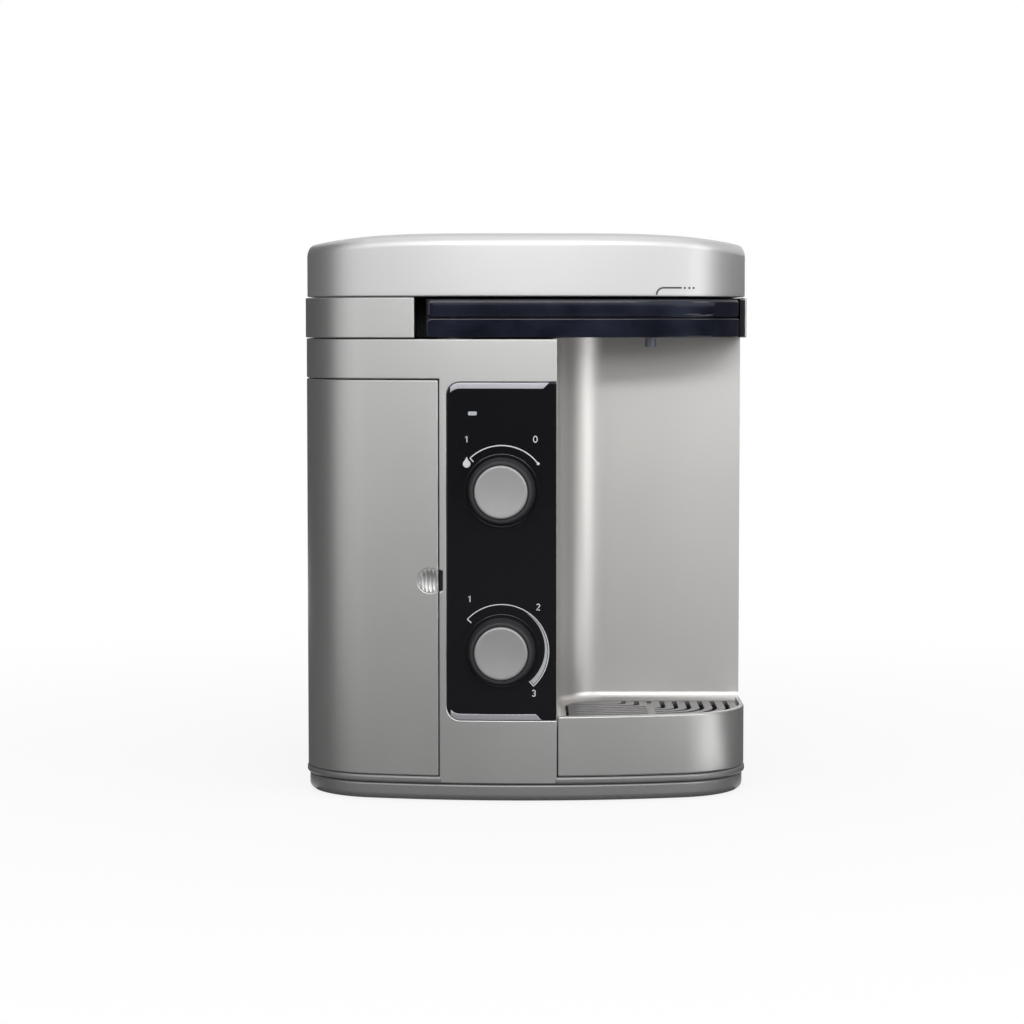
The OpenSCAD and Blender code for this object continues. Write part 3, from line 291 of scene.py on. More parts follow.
@dataclass(frozen=True)
class Finish:
    """Paint, plastic, rubber or metal with a drifting tone and a fine relief."""

    name: str
    color: Color
    roughness: float
    metallic: float = 0.0
    coat: float = 0.0
    coat_roughness: float = 0.1
    transmission: float = 0.0
    ior: float = 1.5
    glow: float = 0.0
    drift: float = 0.05
    drift_scale: float = 7.0
    spread: float = 0.08
    texture: Texture = Texture.GRAIN
    texture_scale: float = 1500.0
    relief: float = 0.06
    top_roughness: Optional[float] = None
    top_metallic: Optional[float] = None
    marks_scale: float = 14.0
    relief_depth: float = 0.0003

    def material(self) -> bpy.types.Material:
        """Build the node material of this finish on its first use.

        Returns:
            The material.
        """
        made = bpy.data.materials.get(self.name)
        if made:
            return made
        made = bpy.data.materials.new(self.name)
        made.use_nodes = True
        made.diffuse_color = (*self.color, 1.0)
        tree = made.node_tree
        shader = tree.nodes["Principled BSDF"]
        plain = {
            "Metallic": self.metallic,
            "IOR": self.ior,
            "Coat Weight": self.coat,
            "Coat Roughness": self.coat_roughness,
            "Transmission Weight": self.transmission,
            "Emission Strength": self.glow,
            "Emission Color": (*self.color, 1.0),
        }
        for key, value in plain.items():
            shader.inputs[key].default_value = value
        tone = self._place(tree, Effects.tone(), {
            "Color": (*self.color, 1.0), "Drift": self.drift, "Scale": self.drift_scale})
        marks = self._place(tree, Effects.handling(), {
            "Roughness": self.roughness, "Spread": self.spread, "Scale": self.marks_scale})
        for target, side, top in ((marks.inputs["Roughness"], self.roughness, self.top_roughness),
                                  (shader.inputs["Metallic"], self.metallic, self.top_metallic)):
            if top is not None:
                blend = self._place(tree, Effects.upward(), {"Side": side, "Top": top})
                tree.links.new(blend.outputs[0], target)
        relief = self._place(tree, Effects.relief(self.texture), {"Scale": self.texture_scale})
        bump = tree.nodes.new("ShaderNodeBump")
        bump.inputs["Strength"].default_value = self.relief
        bump.inputs["Distance"].default_value = self.relief_depth
        tree.links.new(relief.outputs[0], bump.inputs["Height"])
        tree.links.new(tone.outputs[0], shader.inputs["Base Color"])
        tree.links.new(marks.outputs[0], shader.inputs["Roughness"])
        tree.links.new(bump.outputs[0], shader.inputs["Normal"])
        return made

    @staticmethod
    def _place(tree: bpy.types.NodeTree, group: bpy.types.NodeTree,
               values: dict[str, object]) -> bpy.types.Node:
        """Place a node group with its own values.

        Args:
            tree: Tree of the material.
            group: Shared group.
            values: Input values by socket name.

        Returns:
            The group node.
        """
        node = tree.nodes.new("ShaderNodeGroup")
        node.node_tree = group
        for key, value in values.items():
            node.inputs[key].default_value = value
        return node


SILVER = Finish("satin_silver_paint", (0.433, 0.431, 0.427), 0.38, metallic=0.88, coat=0.08,
                coat_roughness=0.35, drift=0.025, texture_scale=2600.0, relief=0.05)
# Lid paint: a lighter copy of the shell silver. The extra lightness is painted light for the light the lid
# catches.
LID_SILVER_PAINTED_LIGHT = replace(SILVER, name="lid_silver_painted_light", color=(0.478, 0.478, 0.48), roughness=0.43,
                     metallic=0.8, top_roughness=0.68, top_metallic=0.3)
# Bay wall paint: lighter than the shell silver, which is painted light on the wall. The warm tint is the
# wall's own colour.
BAY_SILVER_PAINTED_LIGHT = replace(SILVER, name="warm_silver_bay_painted_light", color=(0.51, 0.498, 0.485), metallic=0.86)
# Base ring paint: the silver darkened to grey. This is painted shade for the contact shadow and the dark
# floor reflected at the foot.
BASE_PAINTED_SHADE = Finish("base_silver_painted_shade", (0.22, 0.22, 0.222), 0.4, metallic=0.6, drift=0.03,
                   texture_scale=2600.0, relief=0.06)
# Basin colour: dark grey. This is painted shade under the grille, so that its slots look dark.
BASIN_PAINTED_SHADE = Finish("basin_grey_painted_shade", (0.03, 0.03, 0.032), 0.5, ior=1.35, texture_scale=1900.0, relief=0.12)
BLACK_MOULDING = Finish("black_moulding", (0.009, 0.009, 0.01), 0.42, ior=1.3, texture_scale=1900.0,
                        relief=0.12)
BLACK_GLOSS = Finish("gloss_black_fascia", (0.0055, 0.0052, 0.0068), 0.12, ior=1.4, spread=0.05, relief=0.015)
CARRIER_BLACK = Finish("arm_carrier_black", (0.005, 0.005, 0.007), 0.3, ior=1.3, relief=0.02)
# Smoked lens: the navy tint is the lens's own colour. The strong tone drift paints lighter and darker
# patches, which are painted reflections and painted shade inside the lens.
SMOKED = Finish("smoked_blue_lens_painted_reflections", (0.0135, 0.0155, 0.0265), 0.06, transmission=0.25, ior=1.45, spread=0.03,
                drift=1.9, drift_scale=24.0, relief=0.0)
BRIGHT_TRIM = Finish("bright_trim_metal", (0.42, 0.42, 0.455), 0.34, metallic=0.75, texture=Texture.BRUSHED,
                     texture_scale=2600.0, relief=0.08)
COLLAR_GREY = Finish("collar_dark_grey", (0.027, 0.028, 0.03), 0.45, ior=1.3, texture_scale=2100.0,
                     relief=0.1)
CAP_SILVER = Finish("cap_spun_silver", (0.29, 0.285, 0.29), 0.45, metallic=0.6, texture=Texture.SPUN,
                    texture_scale=2200.0, relief=0.12)
PRINT_WHITE = Finish("print_white", (0.54, 0.54, 0.55), 0.55, relief=0.02)
PRINT_DARK = Finish("print_dark_grey", (0.045, 0.045, 0.048), 0.5, relief=0.02)
PRINT_GREY = Finish("print_grey", (0.32, 0.32, 0.34), 0.55, relief=0.02)
LED_CLEAR = Finish("led_window", (0.34, 0.355, 0.38), 0.35, glow=0.02, relief=0.02)
NOZZLE_GREY = Finish("nozzle_satin_grey", (0.1, 0.105, 0.13), 0.35, coat=0.15, relief=0.08)
GRILLE_GREY = Finish("grille_satin_grey", (0.12, 0.12, 0.123), 0.42, metallic=0.3, texture_scale=1800.0,
                     relief=0.12)
RUBBER = Finish("foot_rubber", (0.02, 0.02, 0.02), 0.75, texture_scale=1100.0, relief=0.3)
WHITE_MOULDING = Finish("white_moulding", (0.72, 0.72, 0.7), 0.45, relief=0.1)
HOSE_NATURAL = Finish("hose_natural", (0.72, 0.75, 0.77), 0.3, transmission=0.15, relief=0.05)
STEEL = Finish("sheet_steel", (0.5, 0.5, 0.51), 0.34, metallic=1.0, texture=Texture.BRUSHED,
               texture_scale=900.0, relief=0.15)
BRASS = Finish("turned_brass", (0.62, 0.46, 0.19), 0.28, metallic=1.0, relief=0.08)
ALUMINIUM = Finish("extruded_aluminium", (0.6, 0.61, 0.62), 0.36, metallic=1.0, texture=Texture.BRUSHED,
                   texture_scale=1400.0, relief=0.15)
FOAM = Finish("expanded_foam", (0.82, 0.82, 0.79), 0.85, texture_scale=420.0, relief=0.5)
BOARD_GREEN = Finish("board_green", (0.03, 0.16, 0.07), 0.38, coat=0.3, relief=0.08)


def node_box(node: str) -> tuple[Vector, Vector]:
    """Return the lowest and highest corner of a node in millimetres."""
    low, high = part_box(node)
    return low / MM, high / MM


@dataclass
class Outline:
    """Plan of the cabinet: bowed front, round front corners, straight sides and a flat rear.

    A place on it is the distance s along the outline from the middle of the front, to the right if positive.
    """

    half_w: float
    front_y: float
    rear_y: float
    front_r: float = 450.0
    corner_r: float = 60.0
    rear_r: float = 24.0
    steps: tuple[int, ...] = (14, 30, 1, 14, 1)
    apart: float = 0.02

    def __post_init__(self) -> None:
        """Work out the arcs and the lengths of the five stretches of one half."""
        self.arc_y = self.front_y + self.front_r
        self.corner_x = self.half_w - self.corner_r
        reach = self.front_r - self.corner_r
        self.corner_y = self.arc_y - math.sqrt(reach ** 2 - self.corner_x ** 2)
        self.turn = math.asin(self.corner_x / reach)
        self.bow = self.front_r * self.turn
        self.side = self.bow + self.corner_r * (QUARTER - self.turn)
        self.back = self.side + self.rear_y - self.rear_r - self.corner_y
        self.rear = self.back + self.rear_r * QUARTER
        self.half = self.rear + self.half_w - self.rear_r

    def point(self, s: float, inset: float = 0.0) -> Point2:
        """Find a plan point.

        Args:
            s: Place on the outline.
            inset: How far the point is set in.

        Returns:
            X and Y of the point.
        """
        s = (s + self.half) % (2 * self.half) - self.half
        a = abs(s)
        if a <= self.side:
            t = a / self.front_r if a <= self.bow else self.turn + (a - self.bow) / self.corner_r
            nx, ny = math.sin(t), -math.cos(t)
            if a <= self.bow:
                x, y = self.front_r * nx, self.arc_y + self.front_r * ny
            else:
                x, y = self.corner_x + self.corner_r * nx, self.corner_y + self.corner_r * ny
        elif a <= self.back:
            nx, ny = 1.0, 0.0
            x, y = self.half_w, self.corner_y + a - self.side
        elif a <= self.rear:
            t = (a - self.back) / self.rear_r
            nx, ny = math.cos(t), math.sin(t)
            x, y = self.half_w - self.rear_r * (1 - nx), self.rear_y - self.rear_r * (1 - ny)
        else:
            nx, ny = 0.0, 1.0
            x, y = self.half_w - self.rear_r - (a - self.rear), self.rear_y
        sign = 1.0 if s >= 0 else -1.0
        return sign * (x - nx * inset), y - ny * inset

    def s_at_x(self, x: float, inset: float = 0.0) -> float:
        """Find the place on the front or a front corner that has an X.

        Args:
            x: The X, left of the middle if negative.
            inset: Inset at which it is taken.

        Returns:
            The place s.
        """
        a = abs(x)
        t = math.asin(min(1.0, a / (self.front_r - inset)))
        s = self.front_r * t
        if t > self.turn:
            t = math.asin(min(1.0, (a - self.corner_x) / (self.corner_r - inset)))
            s = self.bow + self.corner_r * (t - self.turn)
        return math.copysign(s, x)

    def s_at_y(self, y: float, sign: float) -> float:
        """Find the place on a side or a front corner that has a Y.

        Args:
            y: The Y.
            sign: -1 on the left, 1 on the right.

        Returns:
            The place s.
        """
        if y >= self.corner_y:
            return sign * (self.side + y - self.corner_y)
        t = math.acos(min(1.0, (self.corner_y - y) / self.corner_r))
        return sign * (self.bow + self.corner_r * (t - self.turn))

    def stations(self, s0: float, s1: float) -> list[float]:
        """Spread places over a stretch, dense on the tight curves.

        Args:
            s0: Start of the stretch.
            s1: End of the stretch.

        Returns:
            The places between the two ends, in order.
        """
        marks: set[float] = set()
        ends = (0.0, self.bow, self.side, self.back, self.rear, self.half)
        for low, high, count in zip(ends, ends[1:], self.steps):
            for k in range(count + 1):
                s = low + (high - low) * k / count
                marks.update((s, -s, s - 2 * self.half, 2 * self.half - s))
        return sorted({round(s, 5) for s in marks if s0 + self.apart < s < s1 - self.apart})

    def walk(self, s0: float, s1: float, inset: float) -> list[Point2]:
        """Return plan points from s0 to s1 at an inset."""
        return [self.point(s, inset) for s in (s0, *self.stations(s0, s1), s1)]


@dataclass
class Layout:
    """Shared places of the cabinet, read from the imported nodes."""

    panel_inset: float = 0.6
    wall: float = 3.0
    seam: float = 0.6
    cove_r: float = 7.0
    bay_r: float = 37.0
    scoop_share: float = 0.495
    grille_proud: float = 1.0
    seat_gap: float = 0.2

    def __post_init__(self) -> None:
        """Read the boxes of the nodes that the other pieces lie against."""
        band, panel, door, liner, tray, grille, base = (node_box(node) for node in (
            "top_band", "front_panel", "filter_door", "bay_liner", "drip_tray", "drip_grille", "base_pan"))
        front_y = round(panel[0].y - self.panel_inset, 2)
        self.plan = Outline(round(band[1].x, 2), front_y, round(band[1].y, 2))
        self.band_z = (band[0].z, band[1].z)
        self.panel_z = (panel[0].z, panel[1].z)
        self.head_z = door[1].z + self.seam
        self.scoop_z = door[0].z + self.scoop_share * (door[1].z - door[0].z)
        self.base_z = (base[0].z, base[1].z)
        self.column_x, self.bay_x = door[1].x + self.seam, panel[1].x
        self.bay_y = liner[1].y - self.wall
        self.bay_top = liner[1].z
        self.ledge_z = grille[1].z - self.grille_proud
        self.tray_z = (tray[0].z, tray[1].z)
        self.tray_y = tray[1].y
        self.tray_fit = self.bay_y - self.cove_r - self.tray_y
        self.tray_x = self.bay_x + self.cove_r + self.tray_fit
        self.seat_z = grille[0].z - self.seat_gap

    def knob_spot(self, kind: str) -> Point2:
        """Find the middle of a knob.

        Args:
            kind: First word of the knob's nodes.

        Returns:
            Its angle on the bowed front and its height.
        """
        low, high = node_box(f"{kind}_cap")
        middle = (low + high) / 2
        return math.atan2(middle.x, self.plan.arc_y - middle.y), middle.z

    def knob_frame(self, kind: str) -> Matrix:
        """Find the local frame of a knob.

        Args:
            kind: First word of the knob's nodes.

        Returns:
            The frame on the bowed front, with +Z out of the fascia.
        """
        t, height = self.knob_spot(kind)
        out = Vector((math.sin(t), -math.cos(t), 0))
        spot = Vector((0, self.plan.arc_y, height)) + out * (self.plan.front_r - self.panel_inset)
        axes = Matrix((Vector((math.cos(t), math.sin(t), 0)), Vector((0, 0, 1)), out)).transposed()
        return Matrix.Translation(spot * MM) @ axes.to_4x4()


@dataclass
class Shape:
    """Points in millimetres and the faces between them."""

    points: list[Point3] = field(default_factory=list)
    faces: list[tuple[int, ...]] = field(default_factory=list)

    def join(self, other: "Shape") -> "Shape":
        """Return this shape with another one added."""
        shift = len(self.points)
        return Shape(self.points + other.points,
                     self.faces + [tuple(k + shift for k in face) for face in other.faces])


def angles(steps: int, whole: float = QUARTER) -> list[float]:
    """Return even angles from zero to a whole turn, both ends included."""
    return [whole * k / steps for k in range(steps + 1)]


def circle(x: float, y: float, r: float, steps: int) -> list[Point2]:
    """Return the points of a circle round a middle."""
    return [(x + r * math.cos(t), y + r * math.sin(t)) for t in angles(steps, 2 * math.pi)[:-1]]


def rear_corner(x: float, y: float, r: float, steps: int) -> list[Point2]:
    """Return the arc of a rear left corner round a middle, from the rear to the left."""
    return [(x - r * math.sin(t), y + r * math.cos(t)) for t in angles(steps)]


def rectangle(x0: float, x1: float, y0: float, y1: float) -> list[Point2]:
    """Return the corners of a rectangle, counter-clockwise from the lower left."""
    return [(x0, y0), (x1, y0), (x1, y1), (x0, y1)]


def loft(rings: Sequence[Ring], closed: bool = False) -> Shape:
    """Skin closed rings of equal count.

    Args:
        rings: Rings in order.
        closed: Whether the last ring runs back into the first, instead of both being capped.

    Returns:
        The skinned shape.
    """
    n, m = len(rings[0]), len(rings)
    faces = [(k * n + j, k * n + (j + 1) % n, (k + 1) % m * n + (j + 1) % n, (k + 1) % m * n + j)
             for k in range(m if closed else m - 1) for j in range(n)]
    if not closed:
        faces += [tuple(range(n - 1, -1, -1)), tuple(range((m - 1) * n, m * n))]
    return Shape([p for ring in rings for p in ring], faces)


def rounded(corners: Sequence[Point3], steps: int = 5, straight: float = 0.01) -> list[Point2]:
    """Round the corners of a polygon.

    Args:
        corners: Points with their corner radius.
        steps: Segments in each round corner.
        straight: Bends of less than this angle stay as they are.

    Returns:
        The points of the rounded polygon.
    """
    made: list[Point2] = []
    for k, (x, y, r) in enumerate(corners):
        here = Vector((x, y))
        back = Vector(corners[k - 1][:2]) - here
        ahead = Vector(corners[(k + 1) % len(corners)][:2]) - here
        back.normalize()
        ahead.normalize()
        bend = back.angle(ahead)
        if r <= 0 or bend > math.pi - straight:
            made.append((x, y))
            continue
        run = r / math.tan(bend / 2)
        centre = here + (back + ahead).normalized() * (r / math.sin(bend / 2))
        first, last = here + back * run - centre, here + ahead * run - centre
        a0, a1 = math.atan2(first.y, first.x), math.atan2(last.y, last.x)
        turn = (a1 - a0 + math.pi) % (2 * math.pi) - math.pi
        made += [(centre.x + r * math.cos(a0 + t), centre.y + r * math.sin(a0 + t))
                 for t in angles(steps, turn)]
    return made


def softened(corners: Sequence[Point2], *radii: float, steps: int = 5) -> list[Point2]:
    """Return a polygon with its corners rounded by one radius or by one each."""
    return rounded([(x, y, r) for (x, y), r in zip(corners, cycle(radii))], steps)


def shrunk(polygon: Sequence[Point2], reach: float, sharpest: float = 0.3) -> list[Point2]:
    """Set a polygon in.

    Args:
        polygon: Counter-clockwise points.
        reach: How far each side is set in.
        sharpest: Least share that a sharp corner is divided by.

    Returns:
        The points of the smaller polygon, in the same order.
    """
    made: list[Point2] = []
    count = len(polygon)
    for k in range(count):
        (x0, y0), (x1, y1), (x2, y2) = polygon[k - 1], polygon[k], polygon[(k + 1) % count]
        a, b = math.hypot(x1 - x0, y1 - y0) or 1.0, math.hypot(x2 - x1, y2 - y1) or 1.0
        ax, ay, bx, by = (y0 - y1) / a, (x1 - x0) / a, (y1 - y2) / b, (x2 - x1) / b
        share = max(sharpest, 1 + ax * bx + ay * by)
        made.append((x1 + reach * (ax + bx) / share, y1 + reach * (ay + by) / share))
    return made


def pillow(polygon: Sequence[Point2], z0: float, z1: float, edge: float, steps: int = 4) -> Shape:
    """Raise a plan polygon with rounded lower and upper edges.

    Args:
        polygon: Counter-clockwise plan points.
        z0: Foot.
        z1: Top.
        edge: Radius of the edges.
        steps: Segments in each edge.

    Returns:
        The closed shape.
    """
    low = [(edge * (1 - math.sin(t)), z0 + edge * (1 - math.cos(t))) for t in angles(steps)]
    high = [(reach, z0 + z1 - z) for reach, z in reversed(low)]
    return loft([[(x, y, z) for x, y in shrunk(polygon, reach)] for reach, z in low + high])


def lathe(profile: Sequence[Point2], segments: int = 128, closed: bool = False) -> Shape:
    """Turn a profile about the local Z axis.

    Args:
        profile: Radius and height of each ring.
        segments: Segments round the axis.
        closed: Whether the profile closes on itself.

    Returns:
        The turned shape.
    """
    return loft([[(x, y, w) for x, y in circle(0.0, 0.0, r, segments)] for r, w in profile], closed)


def plate(plan: Outline, contour: Sequence[Point2], inset: float, depth: float, edge: float,
          steps: int = 4) -> Shape:
    """Bend a flat plate with a rounded outer edge round the outline.

    Args:
        plan: Outline of the cabinet.
        contour: Counter-clockwise points (s, z) of the plate seen from outside.
        inset: Inset of its outer face.
        depth: Thickness.
        edge: Radius of the outer edge.
        steps: Segments in the edge.

    Returns:
        The bent plate.
    """
    levels = [(0.0, depth)] + [(edge * (1 - math.cos(t)), edge * (1 - math.sin(t))) for t in angles(steps)]
    flat = loft([[(s, d, z) for s, z in shrunk(contour, reach)] for reach, d in levels])
    bm = bmesh.new()
    verts = [bm.verts.new(p) for p in flat.points]
    for face in flat.faces:
        bm.faces.new([verts[k] for k in face])
    ends = [s for s, _ in contour]
    for s in plan.stations(min(ends), max(ends)):
        bmesh.ops.bisect_plane(bm, geom=bm.verts[:] + bm.edges[:] + bm.faces[:], dist=CUT_NEAR,
                               plane_co=(s, 0, 0), plane_no=(1, 0, 0))
    for vert in bm.verts:
        s, d, z = vert.co
        x, y = plan.point(s, inset + d)
        vert.co = (x, y, z)
    bmesh.ops.triangulate(bm, faces=[f for f in bm.faces if len(f.verts) > 4])
    bm.verts.index_update()
    made = Shape([tuple(v.co) for v in bm.verts], [tuple(v.index for v in f.verts) for f in bm.faces])
    bm.free()
    return made


def polar(r: float, degrees: float) -> Point2:
    """Return a point by its radius and its angle from the right."""
    return r * math.cos(math.radians(degrees)), r * math.sin(math.radians(degrees))


def arc(r: float, first: float, last: float, steps: int = 40) -> list[Point2]:
    """Return points along an arc between two angles."""
    return [polar(r, first + (last - first) * k / steps) for k in range(steps + 1)]


def stroke(line: Sequence[Point2], width: float) -> list[Ribbon]:
    """Draw a line of a width.

    Args:
        line: Points along its middle.
        width: Its width.

    Returns:
        One ribbon in a list.
    """
    made: Ribbon = []
    for k, (x, y) in enumerate(line):
        (x0, y0), (x1, y1) = line[max(k - 1, 0)], line[min(k + 1, len(line) - 1)]
        span = math.hypot(x1 - x0, y1 - y0)
        nx, ny = (y0 - y1) / span * width / 2, (x1 - x0) / span * width / 2
        made.append(((x + nx, y + ny), (x - nx, y - ny)))
    return [made]


def disc(middle: Point2, r: float, steps: int = 13) -> list[Ribbon]:
    """Return one round ribbon in a list."""
    sides = [(r * math.sin(t), r * math.cos(t)) for t in (math.pi * (k + 0.5) / steps for k in range(steps))]
    return [[((middle[0] - a, middle[1] - b), (middle[0] + a, middle[1] - b)) for a, b in sides]]


def drop(middle: Point2, r: float) -> list[Ribbon]:
    """Draw a drop with its tip up.

    Args:
        middle: Middle of its round part.
        r: Radius of its round part.

    Returns:
        One ribbon in a list.
    """
    (x, y), belly = middle, range(10, 121, 11)
    sides = [(math.sin(t), -math.cos(t)) for t in map(math.radians, belly)]
    sides += [(0.55, 0.85), (0.25, 1.35), (0.05 / r, 1.85)]
    return [[((x - r * a, y + r * b), (x + r * a, y + r * b)) for a, b in sides]]


def numeral(value: int, middle: Point2, h: float = 4.2, width: float = 0.6,
            slim: float = 0.62) -> list[Ribbon]:
    """Draw one plain numeral from 0 to 3.

    Args:
        value: The numeral.
        middle: Its middle.
        h: Its height.
        width: Width of its line.
        slim: Width of the nought as a share of its height.

    Returns:
        One ribbon in a list.
    """
    r, turn = h / 4, range(160, -51, -15)
    bowl = [(x, r + y) for x, y in (polar(r, a) for a in turn)]
    lines = {
        0: [(slim * 2 * r * math.cos(t), 2 * r * math.sin(t)) for t in angles(24, 2 * math.pi)],
        1: [(-0.9 * r, 1.1 * r), (0.2 * r, 2 * r), (0.2 * r, -2 * r)],
        2: bowl + [(-1.1 * r, -1.9 * r), (1.2 * r, -1.9 * r)],
        3: bowl[:-1] + [(0.1 * r, 0.02 * r)] + [(x, -y) for x, y in reversed(bowl[:-1])],
    }
    return stroke([(middle[0] + x, middle[1] + y) for x, y in lines[value]], width)


def inked(ribbons: Iterable[Ribbon], put: Callable[[Point2, float], Point3]) -> Shape:
    """Raise thin prints on a surface.

    Args:
        ribbons: Pairs of points along each ribbon.
        put: Gives the place of a point at a depth under the surface.

    Returns:
        Closed prints that stand a little proud.
    """
    shape = Shape()
    for ribbon in ribbons:
        rings = [[put(left, -PRINT_LIFT), put(right, -PRINT_LIFT), put(right, PRINT_DEEP),
                  put(left, PRINT_DEEP)] for left, right in ribbon]
        shape = shape.join(loft(rings))
    return shape


def place(name: str, shape: Shape, finish: Finish, body: Body, slot: Slot, replaced: Iterable[str] = (),
          matrix: Optional[Matrix] = None, angle: float = 34.0) -> bpy.types.Object:
    """Make a piece of the object.

    Args:
        name: Name of the piece.
        shape: Its shape.
        finish: Its finish.
        body: Body that it rides on.
        slot: Material slot of the record; not used.
        replaced: Nodes that it stands for.
        matrix: Place of its local frame, the frame of the cabinet if none.
        angle: Edges sharper than this stay sharp.

    Returns:
        The new object.
    """
    mesh = bpy.data.meshes.new(name)
    mesh.from_pydata([tuple(c * MM for c in p) for p in shape.points], [], shape.faces)
    bm = bmesh.new()
    bm.from_mesh(mesh)
    bmesh.ops.remove_doubles(bm, verts=bm.verts[:], dist=WELD_NEAR)
    bmesh.ops.recalc_face_normals(bm, faces=bm.faces[:])
    bm.to_mesh(mesh)
    bm.free()
    mesh.materials.append(finish.material())
    piece = bpy.data.objects.new(name, mesh)
    bpy.context.scene.collection.objects.link(piece)
    if matrix is not None:
        piece.matrix_world = matrix
    smooth(piece, angle)
    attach(piece, body.value)
    if replaced:
        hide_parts(*replaced)
    LOG.info("%s rides on %s", name, body.value)
    return piece


def smooth(piece: bpy.types.Object, angle: float) -> None:
    """Shade a piece smooth, with flat faces kept flat.

    Args:
        piece: The piece.
        angle: Edges sharper than this stay sharp, in degrees.
    """
    for face in piece.data.polygons:
        face.use_smooth = True
    piece.data.set_sharp_from_angle(angle=math.radians(angle))
    even = piece.modifiers.new("even_normals", "WEIGHTED_NORMAL")
    even.keep_sharp = True
    even.weight = EVEN_WEIGHT


@dataclass
class Lid:
    """Lid with a tall rim under an arched top, and a soft upper edge between them."""

    layout: Layout
    inset: float = 1.2
    corner_share: float = 0.4
    rear_share: float = 0.5
    lip: float = 1.0
    lip_turns: tuple[float, ...] = (0.0, 0.4, 0.8, 1.2, QUARTER)
    edge_h: float = 7.5
    edge_in: float = 4.5
    arch: float = 10.0
    arch_power: float = 4.3
    bow: float = 4.5
    crest_drop: float = 1.6
    top_run: float = 130.0
    wall_steps: int = 9
    edge_steps: int = 14
    top_steps: int = 24
    leader_x: Point2 = (88.9, 106.2)
    leader_up: float = 1.1
    leader_w: float = 1.3
    bend_w: float = 5.0
    bend_h: float = 4.6
    bend_up: float = 1.4
    bend_steps: int = 8
    dots_x: tuple[float, ...] = (108.3, 111.5, 114.5)
    dots_up: float = 5.9
    dot_r: float = 0.8

    def _outline(self, inset: float) -> Outline:
        """Return the lid outline at an inset."""
        plan = self.layout.plan
        return Outline(plan.half_w - inset, plan.front_y + inset, plan.rear_y - inset, plan.front_r - inset,
                       plan.corner_r - self.corner_share * inset, plan.rear_r + self.rear_share * inset)

    def _ring(self, inset: float, height: Callable[[float, float], float], pulled: float = 0.0) -> Ring:
        """Draw the lid outline in towards the middle.

        Args:
            inset: Inset of the outline.
            height: Height over a plan point.
            pulled: How far the sides are drawn in.

        Returns:
            The ring at its height over each point.
        """
        plan, soft = self.layout.plan, self._outline(inset)
        middle, keep = (plan.front_y + plan.rear_y) / 2, 1 - pulled / plan.half_w
        points = (soft.point(s) for s in soft.stations(-soft.half, soft.half))
        drawn = [(x * keep, middle + (y - middle) * keep) for x, y in points]
        return [(x, y, height(x, y)) for x, y in drawn]

    def build(self) -> None:
        """Loft the lid from its lip over the soft edge to the middle of its top."""
        plan, (low, high) = self.layout.plan, node_box("lid")
        middle, half_d = (plan.front_y + plan.rear_y) / 2, (plan.rear_y - plan.front_y) / 2
        crest, foot = high.z - self.crest_drop, low.z + self.lip

        def top(x: float, y: float) -> float:
            """Return the height of the arched top."""
            return (crest - self.arch * (abs(x) / plan.half_w) ** self.arch_power
                    - self.bow * ((y - middle) / half_d) ** 2)

        inner, ceiling = self.inset + self.layout.wall, crest - self.arch - self.bow - self.edge_h
        rings = [self._ring(inner, lambda x, y, z=z: z) for z in (ceiling, low.z)]
        for t in self.lip_turns:
            level = low.z + self.lip * (1 - math.cos(t))
            rings.append(self._ring(self.inset + self.lip * (1 - math.sin(t)), lambda x, y, z=level: z))
        for v in (k / self.wall_steps for k in range(1, self.wall_steps)):
            rings.append(self._ring(
                self.inset, lambda x, y, v=v: foot + v * (top(x, y) - self.edge_h - foot)))
        for t in angles(self.edge_steps):
            rings.append(self._ring(self.inset, lambda x, y, t=t: top(x, y) - self.edge_h * (1 - math.sin(t)),
                                    self.edge_in * (1 - math.cos(t))))
        for v in (k / self.top_steps for k in range(1, self.top_steps + 1)):
            rings.append(self._ring(self.inset, top, self.edge_in + (self.top_run - self.edge_in) * v))
        # The lid's lighter silver is painted light.
        place("lid_shell", loft(rings), LID_SILVER_PAINTED_LIGHT, Body.CABINET, Slot.SHELL, ["lid"])
        self._leader(low.z)

    def _leader(self, foot: float) -> None:
        """Print the plain leader line that points at the arm, with three dots.

        Args:
            foot: Lower edge of the lid.
        """
        soft, (first, last) = self._outline(self.inset), self.leader_x
        base = foot + self.bend_up
        bend = [(first + self.bend_w * (1 - math.cos(t)), base + self.bend_h * math.sin(t))
                for t in angles(self.bend_steps)]
        ribbons = stroke([(first, foot + self.leader_up), *bend, (last, base + self.bend_h)], self.leader_w)
        for x in self.dots_x:
            ribbons += disc((x, foot + self.dots_up), self.dot_r)

        def put(point: Point2, deep: float) -> Point3:
            """Return the place of a point on the rim."""
            return (*soft.point(soft.s_at_x(point[0]), deep), point[1])

        place("arm_leader_print", inked(ribbons, put), PRINT_DARK, Body.CABINET, Slot.SHELL)


